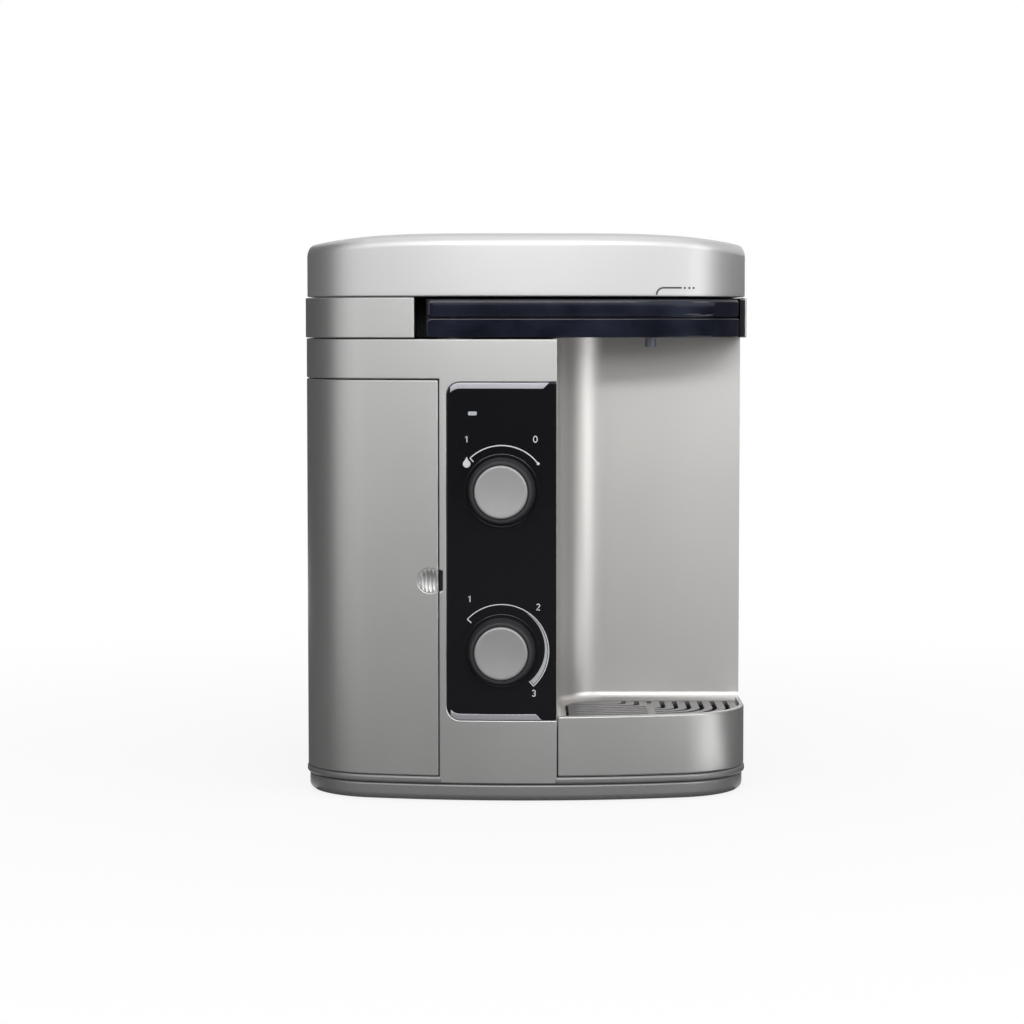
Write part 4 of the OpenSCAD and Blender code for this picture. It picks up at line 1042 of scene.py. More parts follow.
@dataclass
class TopBand:
    """Band under the lid, with the dark recess that the spout arm lies in."""

    layout: Layout
    edge: float = 0.8
    corner: float = 0.9
    side_in: float = 1.8
    recess_gap: float = 8.4
    recess_deep: float = 6.5
    ceiling_lap: float = 2.0
    lining_in: float = 1.0
    lining_lap: float = 0.2
    lining_up: float = 0.4
    soft: float = 0.3

    def build(self) -> None:
        """Bend the band round the cabinet and line the recess."""
        lay, plan, wall = self.layout, self.layout.plan, self.layout.wall
        z0, z1 = lay.band_z
        arm = node_box("arm_body")
        left, rear = arm[0].x - self.recess_gap, arm[1].y + self.recess_deep
        s0, s1 = plan.s_at_y(rear, 1.0) - 2 * plan.half, plan.s_at_x(left)
        band = plate(plan, softened(rectangle(s0, s1, z0, z1), self.corner, steps=3), 0.0, wall, self.edge)
        right = plan.half_w - self.side_in
        ceiling = rectangle(lay.bay_x - wall, right, rear + wall / 2, lay.bay_y + wall + self.ceiling_lap)
        band = band.join(pillow(ceiling, z0, z0 + wall, self.soft, steps=2))
        place("band_shell", band, SILVER, Body.CABINET, Slot.SHELL, ["top_band"])
        front = plan.point(plan.s_at_x(left - wall), self.lining_in)[1]
        end, back, outer = right - self.lining_in, rear + wall - self.soft, left - wall + self.lining_lap
        lining = [(outer, front), (outer, back), (end, back), (end, rear), (left, rear), (left, front)]
        liner = pillow(lining, z0 + self.lining_up, z1 - self.lining_lap, self.soft, steps=2)
        place("recess_lining", liner, BLACK_MOULDING, Body.CABINET, Slot.DARK)


@dataclass
class FrontPanel:
    """Head strip over the door, and the column that carries the fascia."""

    layout: Layout
    edge: float = 0.9
    corner: float = 1.0
    pocket_gap: float = 0.2
    pocket_r: float = 9.2
    notch_w: float = 2.4
    notch_h: float = 14.0
    notch_r: float = 1.2
    shade_plate_gap: float = 0.1
    shade_plate_w: float = 5.0
    shade_plate_t: float = 1.0
    shade_plate_over: float = 2.0
    shade_plate_lap: float = 0.6
    shade_plate_r: float = 0.5
    shade_plate_edge: float = 0.2

    def build(self) -> None:
        """Bend the panel with its fascia pocket and its finger notch, and set a black plate of painted shade
        behind the notch.
        """
        lay, plan, r = self.layout, self.layout.plan, self.corner
        z0, z1 = lay.panel_z
        column, bay = plan.s_at_x(lay.column_x), plan.s_at_x(lay.bay_x)
        end = plan.s_at_y(node_box("left_side_panel")[0].y - lay.seam, -1.0)
        fascia = node_box("fascia")
        left = plan.s_at_x(fascia[0].x - self.pocket_gap)
        low, high = fascia[0].z - self.pocket_gap, fascia[1].z + self.pocket_gap
        foot, head = lay.scoop_z - self.notch_h / 2, lay.scoop_z + self.notch_h / 2
        notch = column + self.notch_w
        contour = rounded([
            (column, z0, r), (bay, z0, r), (bay, low, r), (left, low, self.pocket_r),
            (left, high, self.pocket_r), (bay, high, r), (bay, z1, r), (end, z1, r), (end, lay.head_z, r),
            (column, lay.head_z, 0.0), (column, head, r), (notch, head, self.notch_r),
            (notch, foot, self.notch_r), (column, foot, r)])
        place("front_panel_shell", plate(plan, contour, lay.panel_inset, lay.wall, self.edge), SILVER,
              Body.CABINET, Slot.SHELL, ["front_panel"])
        # A black plate behind the finger notch: painted shade where the inside shows through the notch.
        inset = lay.panel_inset + lay.wall - self.shade_plate_lap
        contour = softened(rectangle(column + self.shade_plate_gap, column + self.shade_plate_w,
                                     foot - self.shade_plate_over, head + self.shade_plate_over), self.shade_plate_r)
        place("notch_painted_shade", plate(plan, contour, inset, self.shade_plate_t, self.shade_plate_edge, steps=2),
              BLACK_MOULDING, Body.CABINET, Slot.DARK)


@dataclass
class ControlColumn:
    """Gloss fascia with bright strips, a light window and printed scales.

    A scale is the radius of its arc and the angles of its two ends, in degrees from the right. A tick is the
    radii of its two ends. Spots of prints are millimetres right of and above the middle of a knob.
    """

    layout: Layout
    thick: float = 2.0
    edge: float = 0.6
    corner: float = 9.0
    corner_steps: int = 10
    end_r: float = 0.7
    led_r: float = 1.0
    led_deep: float = 3.0
    led_edge: float = 0.3
    led_proud: float = 0.12
    trim_h: float = 4.2
    trim_t: float = 1.2
    trim_edge: float = 0.35
    trim_proud: float = 0.15
    trim_start: float = 2.4
    trim_turns: tuple[float, ...] = (0.95, 1.15, 1.35, QUARTER)
    trim_short: Point2 = (5.0, 10.0)
    line: float = 0.75
    thin_line: float = 0.6
    tap_scale: Point3 = (31.2, 134.0, 37.0)
    tap_tick: Point2 = (31.4, 27.8)
    tap_dot: float = 1.0
    drop_spot: Point2 = (-24.0, 18.6)
    drop_r: float = 2.6
    temp_scale: Point3 = (32.3, 137.0, -47.5)
    temp_tick: Point2 = (32.5, 28.6)
    temp_end: Point2 = (32.5, 27.9)
    wedge_scale: Point3 = (31.5, 60.0, -46.0)
    wedge_w: float = 3.3
    wedge_steps: int = 24
    numerals: tuple[tuple[str, int, Point2], ...] = (
        ("tap", 1, (-24.0, 35.5)), ("tap", 0, (23.0, 35.5)), ("temp", 1, (-22.0, 36.0)),
        ("temp", 2, (25.0, 30.5)), ("temp", 3, (22.0, -28.8)))
    seat_rim: tuple[Point2, ...] = (
        (24.2, -0.3), (25.6, -0.3), (25.5, 0.02), (25.2, 0.1), (24.6, 0.1), (24.2, 0.02))

    def build(self) -> None:
        """Make the fascia, its strips, the light window and the prints."""
        lay, plan = self.layout, self.layout.plan
        low, high = node_box("fascia")
        s0, s1 = plan.s_at_x(low.x), plan.s_at_x(high.x)
        contour = softened(rectangle(s0, s1, low.z, high.z), self.corner, self.end_r, self.end_r, self.corner,
                           steps=self.corner_steps)
        place("fascia_plate", plate(plan, contour, lay.panel_inset, self.thick, self.edge), BLACK_GLOSS,
              Body.CABINET, Slot.FASCIA, ["fascia"])
        self._trims(s0, s1, low.z, high.z)
        low, high = node_box("led_lens")
        window = softened(rectangle(plan.s_at_x(low.x), plan.s_at_x(high.x), low.z, high.z), self.led_r)
        inset = lay.panel_inset - self.led_proud
        place("led_window", plate(plan, window, inset, self.led_deep, self.led_edge), LED_CLEAR, Body.CABINET,
              Slot.LED, ["led_lens"])
        self._prints()
        self._seats()

    def _prints(self) -> None:
        """Print the scales, the drop mark and the plain numerals round the knobs."""
        r, first, last = self.tap_scale
        tap = self._on_fascia("tap", [
            *stroke(arc(r, first, last), self.line),
            *stroke([polar(reach, first) for reach in self.tap_tick], self.line),
            *disc(polar(r, last), self.tap_dot), *drop(self.drop_spot, self.drop_r)])
        r, first, last = self.temp_scale
        temperature = self._on_fascia("temp", [
            *stroke(arc(r, first, last), self.thin_line),
            *stroke([polar(reach, first) for reach in self.temp_tick], self.line),
            *stroke([polar(reach, last) for reach in self.temp_end], self.thin_line)])
        r, first, last = self.wedge_scale
        shares = [k / self.wedge_steps for k in range(self.wedge_steps + 1)]
        wedge = self._on_fascia("temp", [[
            (polar(r, first + (last - first) * v), polar(r - self.wedge_w * v, first + (last - first) * v))
            for v in shares]])
        numerals = Shape()
        for kind, value, spot in self.numerals:
            numerals = numerals.join(self._on_fascia(kind, numeral(value, spot)))
        prints = (("tap_scale", tap, PRINT_WHITE), ("temperature_scale", temperature, PRINT_WHITE),
                  ("cooling_wedge", wedge, PRINT_GREY), ("dial_numerals", numerals, PRINT_WHITE))
        for name, shape, finish in prints:
            place(name, shape, finish, Body.CABINET, Slot.FASCIA)

    def _on_fascia(self, kind: str, ribbons: Iterable[Ribbon]) -> Shape:
        """Lay ribbons on the bowed fascia.

        Args:
            kind: First word of the nodes of the knob that they lie round.
            ribbons: Pairs of points along each ribbon.

        Returns:
            Closed thin prints that stand a little proud.
        """
        plan, inset = self.layout.plan, self.layout.panel_inset
        turn, height = self.layout.knob_spot(kind)
        middle = plan.front_r * turn

        def put(point: Point2, deep: float) -> Point3:
            """Return the place of a point on the fascia."""
            return (*plan.point(middle + point[0], inset + deep), height + point[1])

        return inked(ribbons, put)

    def _seats(self) -> None:
        """Turn the thin rims that the knobs stand in."""
        for kind in ("tap", "temp"):
            place(f"{kind}_seat_rim", lathe(self.seat_rim, closed=True), BLACK_GLOSS, Body.CABINET,
                  Slot.FASCIA, matrix=self.layout.knob_frame(kind))

    def _trims(self, s0: float, s1: float, z0: float, z1: float) -> None:
        """Make the two bright strips with their slanted ends.

        Args:
            s0: Left edge of the fascia.
            s1: Right edge of the fascia.
            z0: Foot of the fascia.
            z1: Top of the fascia.
        """
        plan, h, r = self.layout.plan, self.trim_h, self.corner
        inset, shape = self.layout.panel_inset - self.trim_proud, Shape()
        turns = (math.acos(1 - self.trim_start / r), *self.trim_turns)
        for foot, sign, short in zip((z1, z0), (-1.0, 1.0), self.trim_short):
            curve = [(s0 + r - r * math.cos(t), foot + sign * r * (1 - math.sin(t))) for t in turns]
            inner = [(s, z + sign * h) for s, z in reversed(curve)]
            contour = curve + [(s1 - short, foot), (s1 - short - h, foot + sign * h)] + inner
            if sign < 0:
                contour.reverse()
            shape = shape.join(plate(plan, contour, inset, self.trim_t, self.trim_edge, steps=3))
        place("trim_strips", shape, BRIGHT_TRIM, Body.CABINET, Slot.TRIM, ["fascia_trims"])


@dataclass
class Knob:
    """Turning knob: dark collar and a dished bright cap."""

    layout: Layout
    kind: str
    body: Body
    out: float = 15.0
    foot: float = -0.4
    bore: float = 5.0
    collar_r: float = 23.0
    collar_top: float = 21.4
    collar_drop: float = 2.4
    collar_well: float = 5.0
    chamfer: float = 0.3
    lip: float = 1.5
    lip_turns: tuple[float, ...] = (0.0, 0.35, 0.7, 1.05, 1.3, QUARTER)
    mouth: float = 0.4
    cap_gap: float = 0.35
    cap_r: float = 18.2
    cap_h: float = 4.8
    cap_eye: float = 0.4
    rim: float = 1.2
    rim_turns: tuple[float, ...] = (QUARTER, 1.25, 0.95, 0.6, 0.3, 0.0)
    dish: float = 0.4
    dish_r: float = 16.6
    dish_marks: tuple[float, ...] = (3.0, 6.0, 9.0, 12.0, 14.5, 16.2)

    def build(self) -> None:
        """Turn the collar and the cap."""
        matrix, inner = self.layout.knob_frame(self.kind), self.cap_r + self.cap_gap
        top, well = self.out - self.collar_drop, self.out - self.collar_well
        collar = [(self.bore, self.foot), (self.collar_r - self.chamfer, self.foot),
                  (self.collar_r, self.foot + self.chamfer)]
        collar += [(self.collar_top - self.lip * (1 - math.cos(t)), top - self.lip * (1 - math.sin(t)))
                   for t in self.lip_turns]
        collar += [(inner + self.mouth, top), (inner, top - self.mouth), (inner, well), (self.bore, well)]
        place(f"{self.kind}_knob_collar", lathe(collar, closed=True), COLLAR_GREY, self.body, Slot.COLLAR,
              [f"{self.kind}_collar"], matrix)
        cap = [(self.cap_eye, self.out - self.dish)]
        cap += [(r, self.out - self.dish * (1 - (r / self.dish_r) ** 2)) for r in self.dish_marks]
        cap += [(self.cap_r - self.rim * (1 - math.cos(t)), self.out - self.rim * (1 - math.sin(t)))
                for t in self.rim_turns]
        cap += [(self.cap_r, self.out - self.cap_h), (self.cap_eye, self.out - self.cap_h)]
        place(f"{self.kind}_knob_cap", lathe(cap), CAP_SILVER, self.body, Slot.CAP, [f"{self.kind}_cap"],
              matrix)


@dataclass
class FilterDoor:
    """Wrap-round door with a hinge barrel and a fluted finger scoop."""

    layout: Layout
    edge: float = 0.9
    corner: float = 1.0
    hinge_r: float = 5.0
    hinge_edge: float = 0.6
    hinge_steps: int = 48
    bite_steps: int = 40
    scoop_r: float = 8.3
    scoop_in: float = 5.9
    scoop_lap: float = 1.2
    scoop_gap: float = 0.05
    scoop_t: float = 1.4
    scoop_grid: tuple[int, int] = (64, 44)
    ball_r: float = 27.0
    flute: float = 2.7
    flute_in: float = 0.55
    flute_shift: float = 0.9
    flute_fade: float = 2.5
    lip_in: float = 0.15

    def build(self) -> None:
        """Bend the door, turn its barrel and dish its scoop."""
        lay, plan, r = self.layout, self.layout.plan, self.scoop_r
        low, high = node_box("filter_door")
        hinge_x, hinge_y = -plan.half_w + lay.panel_inset + self.hinge_r, high.y - self.hinge_r
        s0, s1 = plan.s_at_y(hinge_y, -1.0), plan.s_at_x(high.x)
        mouth = math.acos(self.scoop_in / r)
        bite = [(s1 - self.scoop_in + r * math.cos(mouth + t), lay.scoop_z + r * math.sin(mouth + t))
                for t in angles(self.bite_steps, 2 * math.pi - 2 * mouth)]
        corners = softened(rectangle(s0, s1, low.z, high.z), self.corner)
        cut = next(k for k, point in enumerate(corners) if point[1] > lay.scoop_z)
        shell = plate(plan, corners[:cut] + bite[::-1] + corners[cut:], lay.panel_inset, lay.wall, self.edge)
        barrel = circle(hinge_x, hinge_y, self.hinge_r, self.hinge_steps)
        place("door_shell", shell.join(pillow(barrel, low.z, high.z, self.hinge_edge)), SILVER, Body.DOOR,
              Slot.SHELL, ["filter_door"])
        self._scoop(s1, lay.scoop_z)

    def _scoop(self, edge_s: float, scoop_z: float) -> None:
        """Dish the finger scoop behind the bite in the door.

        Args:
            edge_s: Front edge of the door on the outline.
            scoop_z: Middle height of the scoop.
        """
        plan, inset, reach = self.layout.plan, self.layout.panel_inset, self.scoop_r + self.scoop_lap
        middle, (columns, rows) = edge_s - self.scoop_in, self.scoop_grid
        lift = math.sqrt(self.ball_r ** 2 - self.scoop_r ** 2)
        shape, row = Shape(), rows + 1
        for i in range(columns + 1):
            s = middle - reach + (self.scoop_in + reach - self.scoop_gap) * i / columns
            rib = 0.5 + 0.5 * math.cos(2 * math.pi * (s - edge_s + self.flute_shift) / self.flute)
            for j in range(row):
                z = scoop_z - reach + 2 * reach * j / rows
                away = math.hypot(s - middle, z - scoop_z)
                fade = self.flute_fade * (1 - (away / self.scoop_r) ** 2)
                deep = math.sqrt(max(0.0, self.ball_r ** 2 - away ** 2)) - lift
                deep -= self.flute_in * rib * min(1.0, max(0.0, fade))
                shape.points.append((*plan.point(s, inset + max(deep, self.lip_in)), z))
        shape.faces = [(i * row + j, (i + 1) * row + j, (i + 1) * row + j + 1, i * row + j + 1)
                       for i in range(columns) for j in range(rows)]
        scoop = place("door_scoop", shape, SILVER, Body.DOOR, Slot.SHELL)
        shell = scoop.modifiers.new("thickness", "SOLIDIFY")
        shell.thickness = self.scoop_t * MM
        shell.offset = -1.0


@dataclass
class SidePanels:
    """Plain panels on the left and the right."""

    layout: Layout
    edge: float = 0.8
    corner: float = 0.9

    def build(self) -> None:
        """Bend both side panels."""
        lay, plan = self.layout, self.layout.plan
        for side, sign in (("left", -1.0), ("right", 1.0)):
            low, high = node_box(f"{side}_side_panel")
            ends = sorted((plan.s_at_y(low.y, sign), plan.s_at_y(high.y, sign)))
            contour = softened(rectangle(*ends, low.z, high.z), self.corner)
            place(f"{side}_panel_shell", plate(plan, contour, lay.panel_inset, lay.wall, self.edge), SILVER,
                  Body.CABINET, Slot.SHELL, [f"{side}_side_panel"])


@dataclass
class DispensingBay:
    """Wall of the bay with a round inner corner and a cove along its foot."""

    layout: Layout
    tip: float = 3.0
    front_gap: float = 0.4
    cove_steps: int = 14
    corner_steps: int = 32

    def build(self) -> None:
        """Sweep the wall section round the bay."""
        lay, plan = self.layout, self.layout.plan
        cove, foot = lay.cove_r, lay.ledge_z - self.tip
        section = [(-lay.wall, foot), (cove, foot)]
        section += [(cove - cove * math.sin(t), lay.ledge_z + cove - cove * math.cos(t))
                    for t in angles(self.cove_steps)]
        section += [(0.0, lay.bay_top), (-lay.wall, lay.bay_top)]
        cx, cy, r = lay.bay_x + lay.bay_r, lay.bay_y - lay.bay_r, lay.bay_r
        start = plan.point(plan.s_at_x(lay.bay_x), lay.panel_inset + lay.wall + self.front_gap)[1]
        path = [(lay.bay_x, start, 1.0, 0.0)]
        path += [(cx - r * math.cos(t), cy + r * math.sin(t), math.cos(t), -math.sin(t))
                 for t in angles(self.corner_steps)]
        path.append((plan.half_w - lay.panel_inset, lay.bay_y, 0.0, -1.0))
        rings = [[(x + nx * u, y + ny * u, z) for u, z in section] for x, y, nx, ny in path]
        # The bay wall's lighter silver is painted light.
        place("bay_wall", loft(rings), BAY_SILVER_PAINTED_LIGHT, Body.CABINET, Slot.SHELL, ["bay_liner"])


@dataclass
class DripTray:
    """Pull-out tray with a bowed front and a basin under the grille.

    A section of the basin is how far each level is set in and how far it lies above a height.
    """

    layout: Layout
    edge: float = 1.2
    corner: float = 1.3
    step_down: float = 3.5
    basin_in: float = 0.5
    basin_steps: int = 16
    floor: float = 2.5
    foot_section: tuple[Point2, ...] = ((0.2, 0.1), (0.0, 0.3))
    rim_section: tuple[Point2, ...] = ((0.0, -0.5), (0.2, -0.1), (4.7, -0.1), (5.0, -0.5))
    well_section: tuple[Point2, ...] = ((5.0, 3.0), (5.8, 1.0), (8.0, 0.0))

    def _plan(self) -> list[Point2]:
        """Draw the plan of the basin.

        Returns:
            Its points, counter-clockwise.
        """
        lay, plan = self.layout, self.layout.plan
        deep, r = lay.panel_inset + self.basin_in, lay.bay_r - lay.cove_r - lay.tray_fit
        made = plan.walk(plan.s_at_x(lay.tray_x, deep), plan.s_at_y(lay.tray_y, 1.0), deep)
        return made + rear_corner(lay.bay_x + lay.bay_r, lay.bay_y - lay.bay_r, r, self.basin_steps)

    def build(self) -> None:
        """Bend the front of the tray and raise its basin."""
        lay, plan, r = self.layout, self.layout.plan, self.corner
        z0, z1 = lay.tray_z
        s0, s1 = plan.s_at_x(lay.bay_x + lay.seam), plan.s_at_y(lay.tray_y, 1.0)
        s2 = plan.s_at_y(node_box("right_side_panel")[0].y - lay.seam, 1.0)
        step = lay.ledge_z - self.step_down
        contour = rounded([(s0, z0, r), (s2, z0, r), (s2, step, r), (s1, step, 0.0), (s1, z1, r),
                           (s0, z1, r)])
        place("tray_front", plate(plan, contour, lay.panel_inset, lay.wall, self.edge), SILVER, Body.TRAY,
              Slot.SHELL, ["drip_tray"])
        basin, sections = self._plan(), (
            (z0, self.foot_section), (lay.seat_z, self.rim_section), (z0 + self.floor, self.well_section))
        rings = [[(x, y, z + up) for x, y in shrunk(basin, reach)] for z, section in sections
                 for reach, up in section]
        # The basin's dark colour is painted shade under the grille.
        place("tray_basin", loft(rings), BASIN_PAINTED_SHADE, Body.TRAY, Slot.SHELL)


@dataclass
class BasePan:
    """Rolled base ring with its sill bead, runners and studs."""

    layout: Layout
    inset: float = 1.8
    deep: float = 12.0
    roll: float = 4.6
    roll_steps: int = 8
    skirt: float = 2.0
    shoulder: float = 1.7
    shoulder_steps: int = 6
    sill_gap: float = 0.3
    groove: float = 0.25
    groove_in: float = 2.2
    ledge_up: float = 0.5
    floor: float = 3.0
    floor_edge: float = 0.4
    bead_up: float = 0.3
    bead_edge: float = 1.5
    bead_r: float = 1.6
    bead_lap: float = 1.4
    root: float = 1.0
    runner_w: float = 5.0
    runner_left: float = 14.0
    runner_right: float = 34.0
    runner_front: float = 26.0
    runner_rear: float = 4.0
    runner_edge: float = 0.6
    stud_r: float = 3.0
    stud_in: float = 6.0
    stud_gap: float = 0.1
    stud_edge: float = 0.4
    stud_steps: int = 24

    def build(self) -> None:
        """Make the base from its ring with the bead, its runners and its studs."""
        # The base ring's dark grey is painted shade.
        place("base_shell", self._ring().join(self._runners()).join(self._studs()), BASE_PAINTED_SHADE, Body.CABINET,
              Slot.SHELL, ["base_pan"])

    def _ring(self) -> Shape:
        """Loft the base ring and bend the bead on it.

        Returns:
            The ring with its bead.
        """
        lay, plan = self.layout, self.layout.plan
        z0, z1 = lay.base_z
        sill = lay.panel_z[0] - self.sill_gap
        foot, brow, ledge, floor = z0 - self.skirt, sill - self.groove, sill + self.ledge_up, z0 + self.floor
        levels = [(self.inset + self.roll * (1 - math.sin(t)), foot + self.roll * (1 - math.cos(t)))
                  for t in angles(self.roll_steps)]
        levels += [(self.inset + self.shoulder * (1 - math.cos(t)), brow - self.shoulder * (1 - math.sin(t)))
                   for t in angles(self.shoulder_steps)]
        neck = self.inset + self.groove_in
        levels += [(neck, brow), (neck, ledge), (self.deep, ledge), (self.deep, floor + self.floor_edge),
                   (self.deep + self.floor_edge, floor)]
        marks = plan.stations(-plan.half, plan.half)
        ring = loft([[(*plan.point(s, reach), z) for s in marks] for reach, z in levels])
        s0, s1 = plan.s_at_x(lay.bay_x - self.bead_lap), plan.s_at_x(lay.column_x + self.bead_lap)
        contour = softened(rectangle(s0, s1 + 2 * plan.half, sill + self.bead_up, z1), self.bead_r)
        return ring.join(plate(plan, contour, 0.0, self.deep, self.bead_edge))

    def _runners(self) -> Shape:
        """Raise the two runners of the tray.

        Returns:
            Both runners.
        """
        lay, plan, shape = self.layout, self.layout.plan, Shape()
        z0, z1 = lay.base_z
        y0, y1 = plan.front_y + self.runner_front, lay.tray_y - self.runner_rear
        for x in (lay.tray_x + self.runner_left, plan.half_w - self.runner_right):
            bar = rectangle(x, x + self.runner_w, y0, y1)
            shape = shape.join(pillow(bar, z0 + self.root, z1, self.runner_edge, steps=2))
        return shape

    def _studs(self) -> Shape:
        """Raise the studs under the power supply.

        Returns:
            The four studs.
        """
        low, high = node_box("power_supply")
        foot, top, shape = self.layout.base_z[0] + self.root, low.z - self.stud_gap, Shape()
        for x in (low.x + self.stud_in, high.x - self.stud_in):
            for y in (low.y + self.stud_in, high.y - self.stud_in):
                stud = circle(x, y, self.stud_r, self.stud_steps)
                shape = shape.join(pillow(stud, foot, top, self.stud_edge, steps=2))
        return shape


@dataclass
class SpoutArm:
    """Swing-out arm: black carrier, two smoked strips and a nozzle."""

    layout: Layout
    inset: float = 0.3
    edge: float = 0.9
    end_round: float = 16.0
    end_steps: int = 12
    lens_t: float = 2.8
    lens_gap: float = 0.2
    lens_r: float = 3.0
    seam_r: float = 2.5
    upper_edge: float = 2.4
    lower_edge: float = 0.8
    bore: float = 2.6
    bore_edge: Point2 = (0.3, 0.4)
    nozzle_r: float = 4.0
    nozzle_edge: float = 0.6
    nozzle_steps: int = 64
    root_w: float = 0.9
    root_h: Point2 = (1.2, 0.6)
    root_lap: float = 0.2

    def build(self) -> None:
        """Make the carrier, the lens strips and the nozzle."""
        self._carrier()
        self._lenses()
        self._nozzle()

    def _carrier(self) -> None:
        """Raise the carrier, set back where the strips lie on it."""
        plan, r = self.layout.plan, self.end_round
        low, high = node_box("arm_body")
        end = node_box("arm_lens_upper")[1].x + self.lens_gap
        deep = self.inset + self.lens_t + self.lens_gap
        outline = plan.walk(plan.s_at_x(low.x, deep), plan.s_at_x(end, deep), deep)
        outline += plan.walk(plan.s_at_x(end, self.inset), plan.s_at_y(high.y, 1.0), self.inset)
        outline += rear_corner(low.x + r, high.y - r, r, self.end_steps)
        place("arm_carrier", pillow(outline, low.z, node_box("arm_cover")[1].z, self.edge), CARRIER_BLACK,
              Body.ARM, Slot.DARK, ["arm_body", "arm_cover"])

    def _lenses(self) -> None:
        """Bend the two smoked strips, which meet at a seam."""
        plan, start = self.layout.plan, node_box("arm_body")[0].x
        s0, s1 = plan.s_at_x(start), plan.s_at_x(node_box("arm_lens_upper")[1].x, self.inset)
        for name, foot_r, top_r, edge in (("upper", self.seam_r, self.lens_r, self.upper_edge),
                                          ("lower", self.lens_r, self.seam_r, self.lower_edge)):
            low, high = node_box(f"arm_lens_{name}")
            contour = softened(rectangle(s0, s1, low.z, high.z), foot_r, foot_r, top_r, top_r)
            place(f"arm_lens_{name}_strip", plate(plan, contour, self.inset, self.lens_t, edge), SMOKED,
                  Body.ARM, Slot.LENS, [f"arm_lens_{name}"])

    def _nozzle(self) -> None:
        """Turn the nozzle with its root under the carrier."""
        low, high = node_box("spout_nozzle")
        middle, foot, (bevel_w, bevel_h) = (low + high) / 2, low.z, self.bore_edge
        seat, bore, r, edge = node_box("arm_body")[0].z, self.bore, self.nozzle_r, self.nozzle_edge
        root, top = r + self.root_w, seat + self.root_lap
        profile = [(bore, foot + bevel_h), (bore + bevel_w, foot), (r - edge, foot), (r, foot + edge),
                   (r, seat - self.root_h[0]), (root, seat - self.root_h[1]), (root, top), (bore, top)]
        spot = Matrix.Translation((middle.x * MM, middle.y * MM, 0))
        place("nozzle_tip", lathe(profile, self.nozzle_steps, closed=True), NOZZLE_GREY, Body.ARM,
              Slot.NOZZLE, ["spout_nozzle"], spot)


@dataclass
class CarriedNodes:
    """Nodes of the frame that stay as they are, with a finish each."""

    finishes: dict[Finish, tuple[str, ...]] = field(default_factory=lambda: {
        BLACK_MOULDING: ("lid_soffit", "deck", "filter_bay", "mains_gland", "fan_housing", "fan_rotor"),
        WHITE_MOULDING: ("spindle_bush", "tap_valve", "mixing_valve", "filter_head", "filter_cartridge",
                         "peltier_module", "tee_fitting"),
        STEEL: ("valve_bracket", "door_hinge_pins", "rear_posts", "rear_screws", "tank_stand", "cold_tank",
                "spout_spindle"),
        BRASS: ("tap_spindle", "temp_spindle", "inlet_fitting"),
        ALUMINIUM: ("cold_block", "heat_sink"),
        FOAM: ("foam_front", "foam_rear"),
        BOARD_GREEN: ("control_board", "power_supply"),
        HOSE_NATURAL: ("inlet_hose", "filtered_hose", "tank_hose", "cold_hose", "link_hose", "spout_hose",
                       "arm_tube"),
        GRILLE_GREY: ("drip_grille",),
        RUBBER: ("feet",),
        SILVER: ("rear_cover",)})
    bevels: dict[str, float] = field(default_factory=lambda: {
        "drip_grille": 0.45, "rear_cover": 0.6, "rear_screws": 0.25, "feet": 0.6, "mains_gland": 0.5,
        "inlet_fitting": 0.4, "filter_cartridge": 1.0, "filter_head": 0.8})
    weld: float = 0.00001
    flat_angle: float = 1.0
    edge_angle: float = 40.0
    edge_steps: int = 2

    def dress(self) -> None:
        """Give each node its finish and the outer ones softened edges."""
        for finish, names in self.finishes.items():
            for name in names:
                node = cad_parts[name]
                node.data.materials.clear()
                node.data.materials.append(finish.material())
                for face in node.data.polygons:
                    face.material_index = 0
                if name in self.bevels:
                    self._soften(node, self.bevels[name])
                LOG.info("%s keeps its shape, finish %s", name, finish.name)

    def _soften(self, node: bpy.types.Object, width: float) -> None:
        """Weld, flatten and bevel a node by modifiers alone.

        Args:
            node: The node.
            width: Width of its bevelled edges.
        """
        weld = node.modifiers.new("weld", "WELD")
        weld.merge_threshold = self.weld
        flat = node.modifiers.new("flat", "DECIMATE")
        flat.decimate_type = "DISSOLVE"
        flat.angle_limit = math.radians(self.flat_angle)
        bevel = node.modifiers.new("edges", "BEVEL")
        bevel.width = width * MM
        bevel.segments = self.edge_steps
        bevel.limit_method = "ANGLE"
        bevel.angle_limit = math.radians(self.edge_angle)
        even = node.modifiers.new("even_normals", "WEIGHTED_NORMAL")
        even.weight = EVEN_WEIGHT
        for face in node.data.polygons:
            face.use_smooth = True


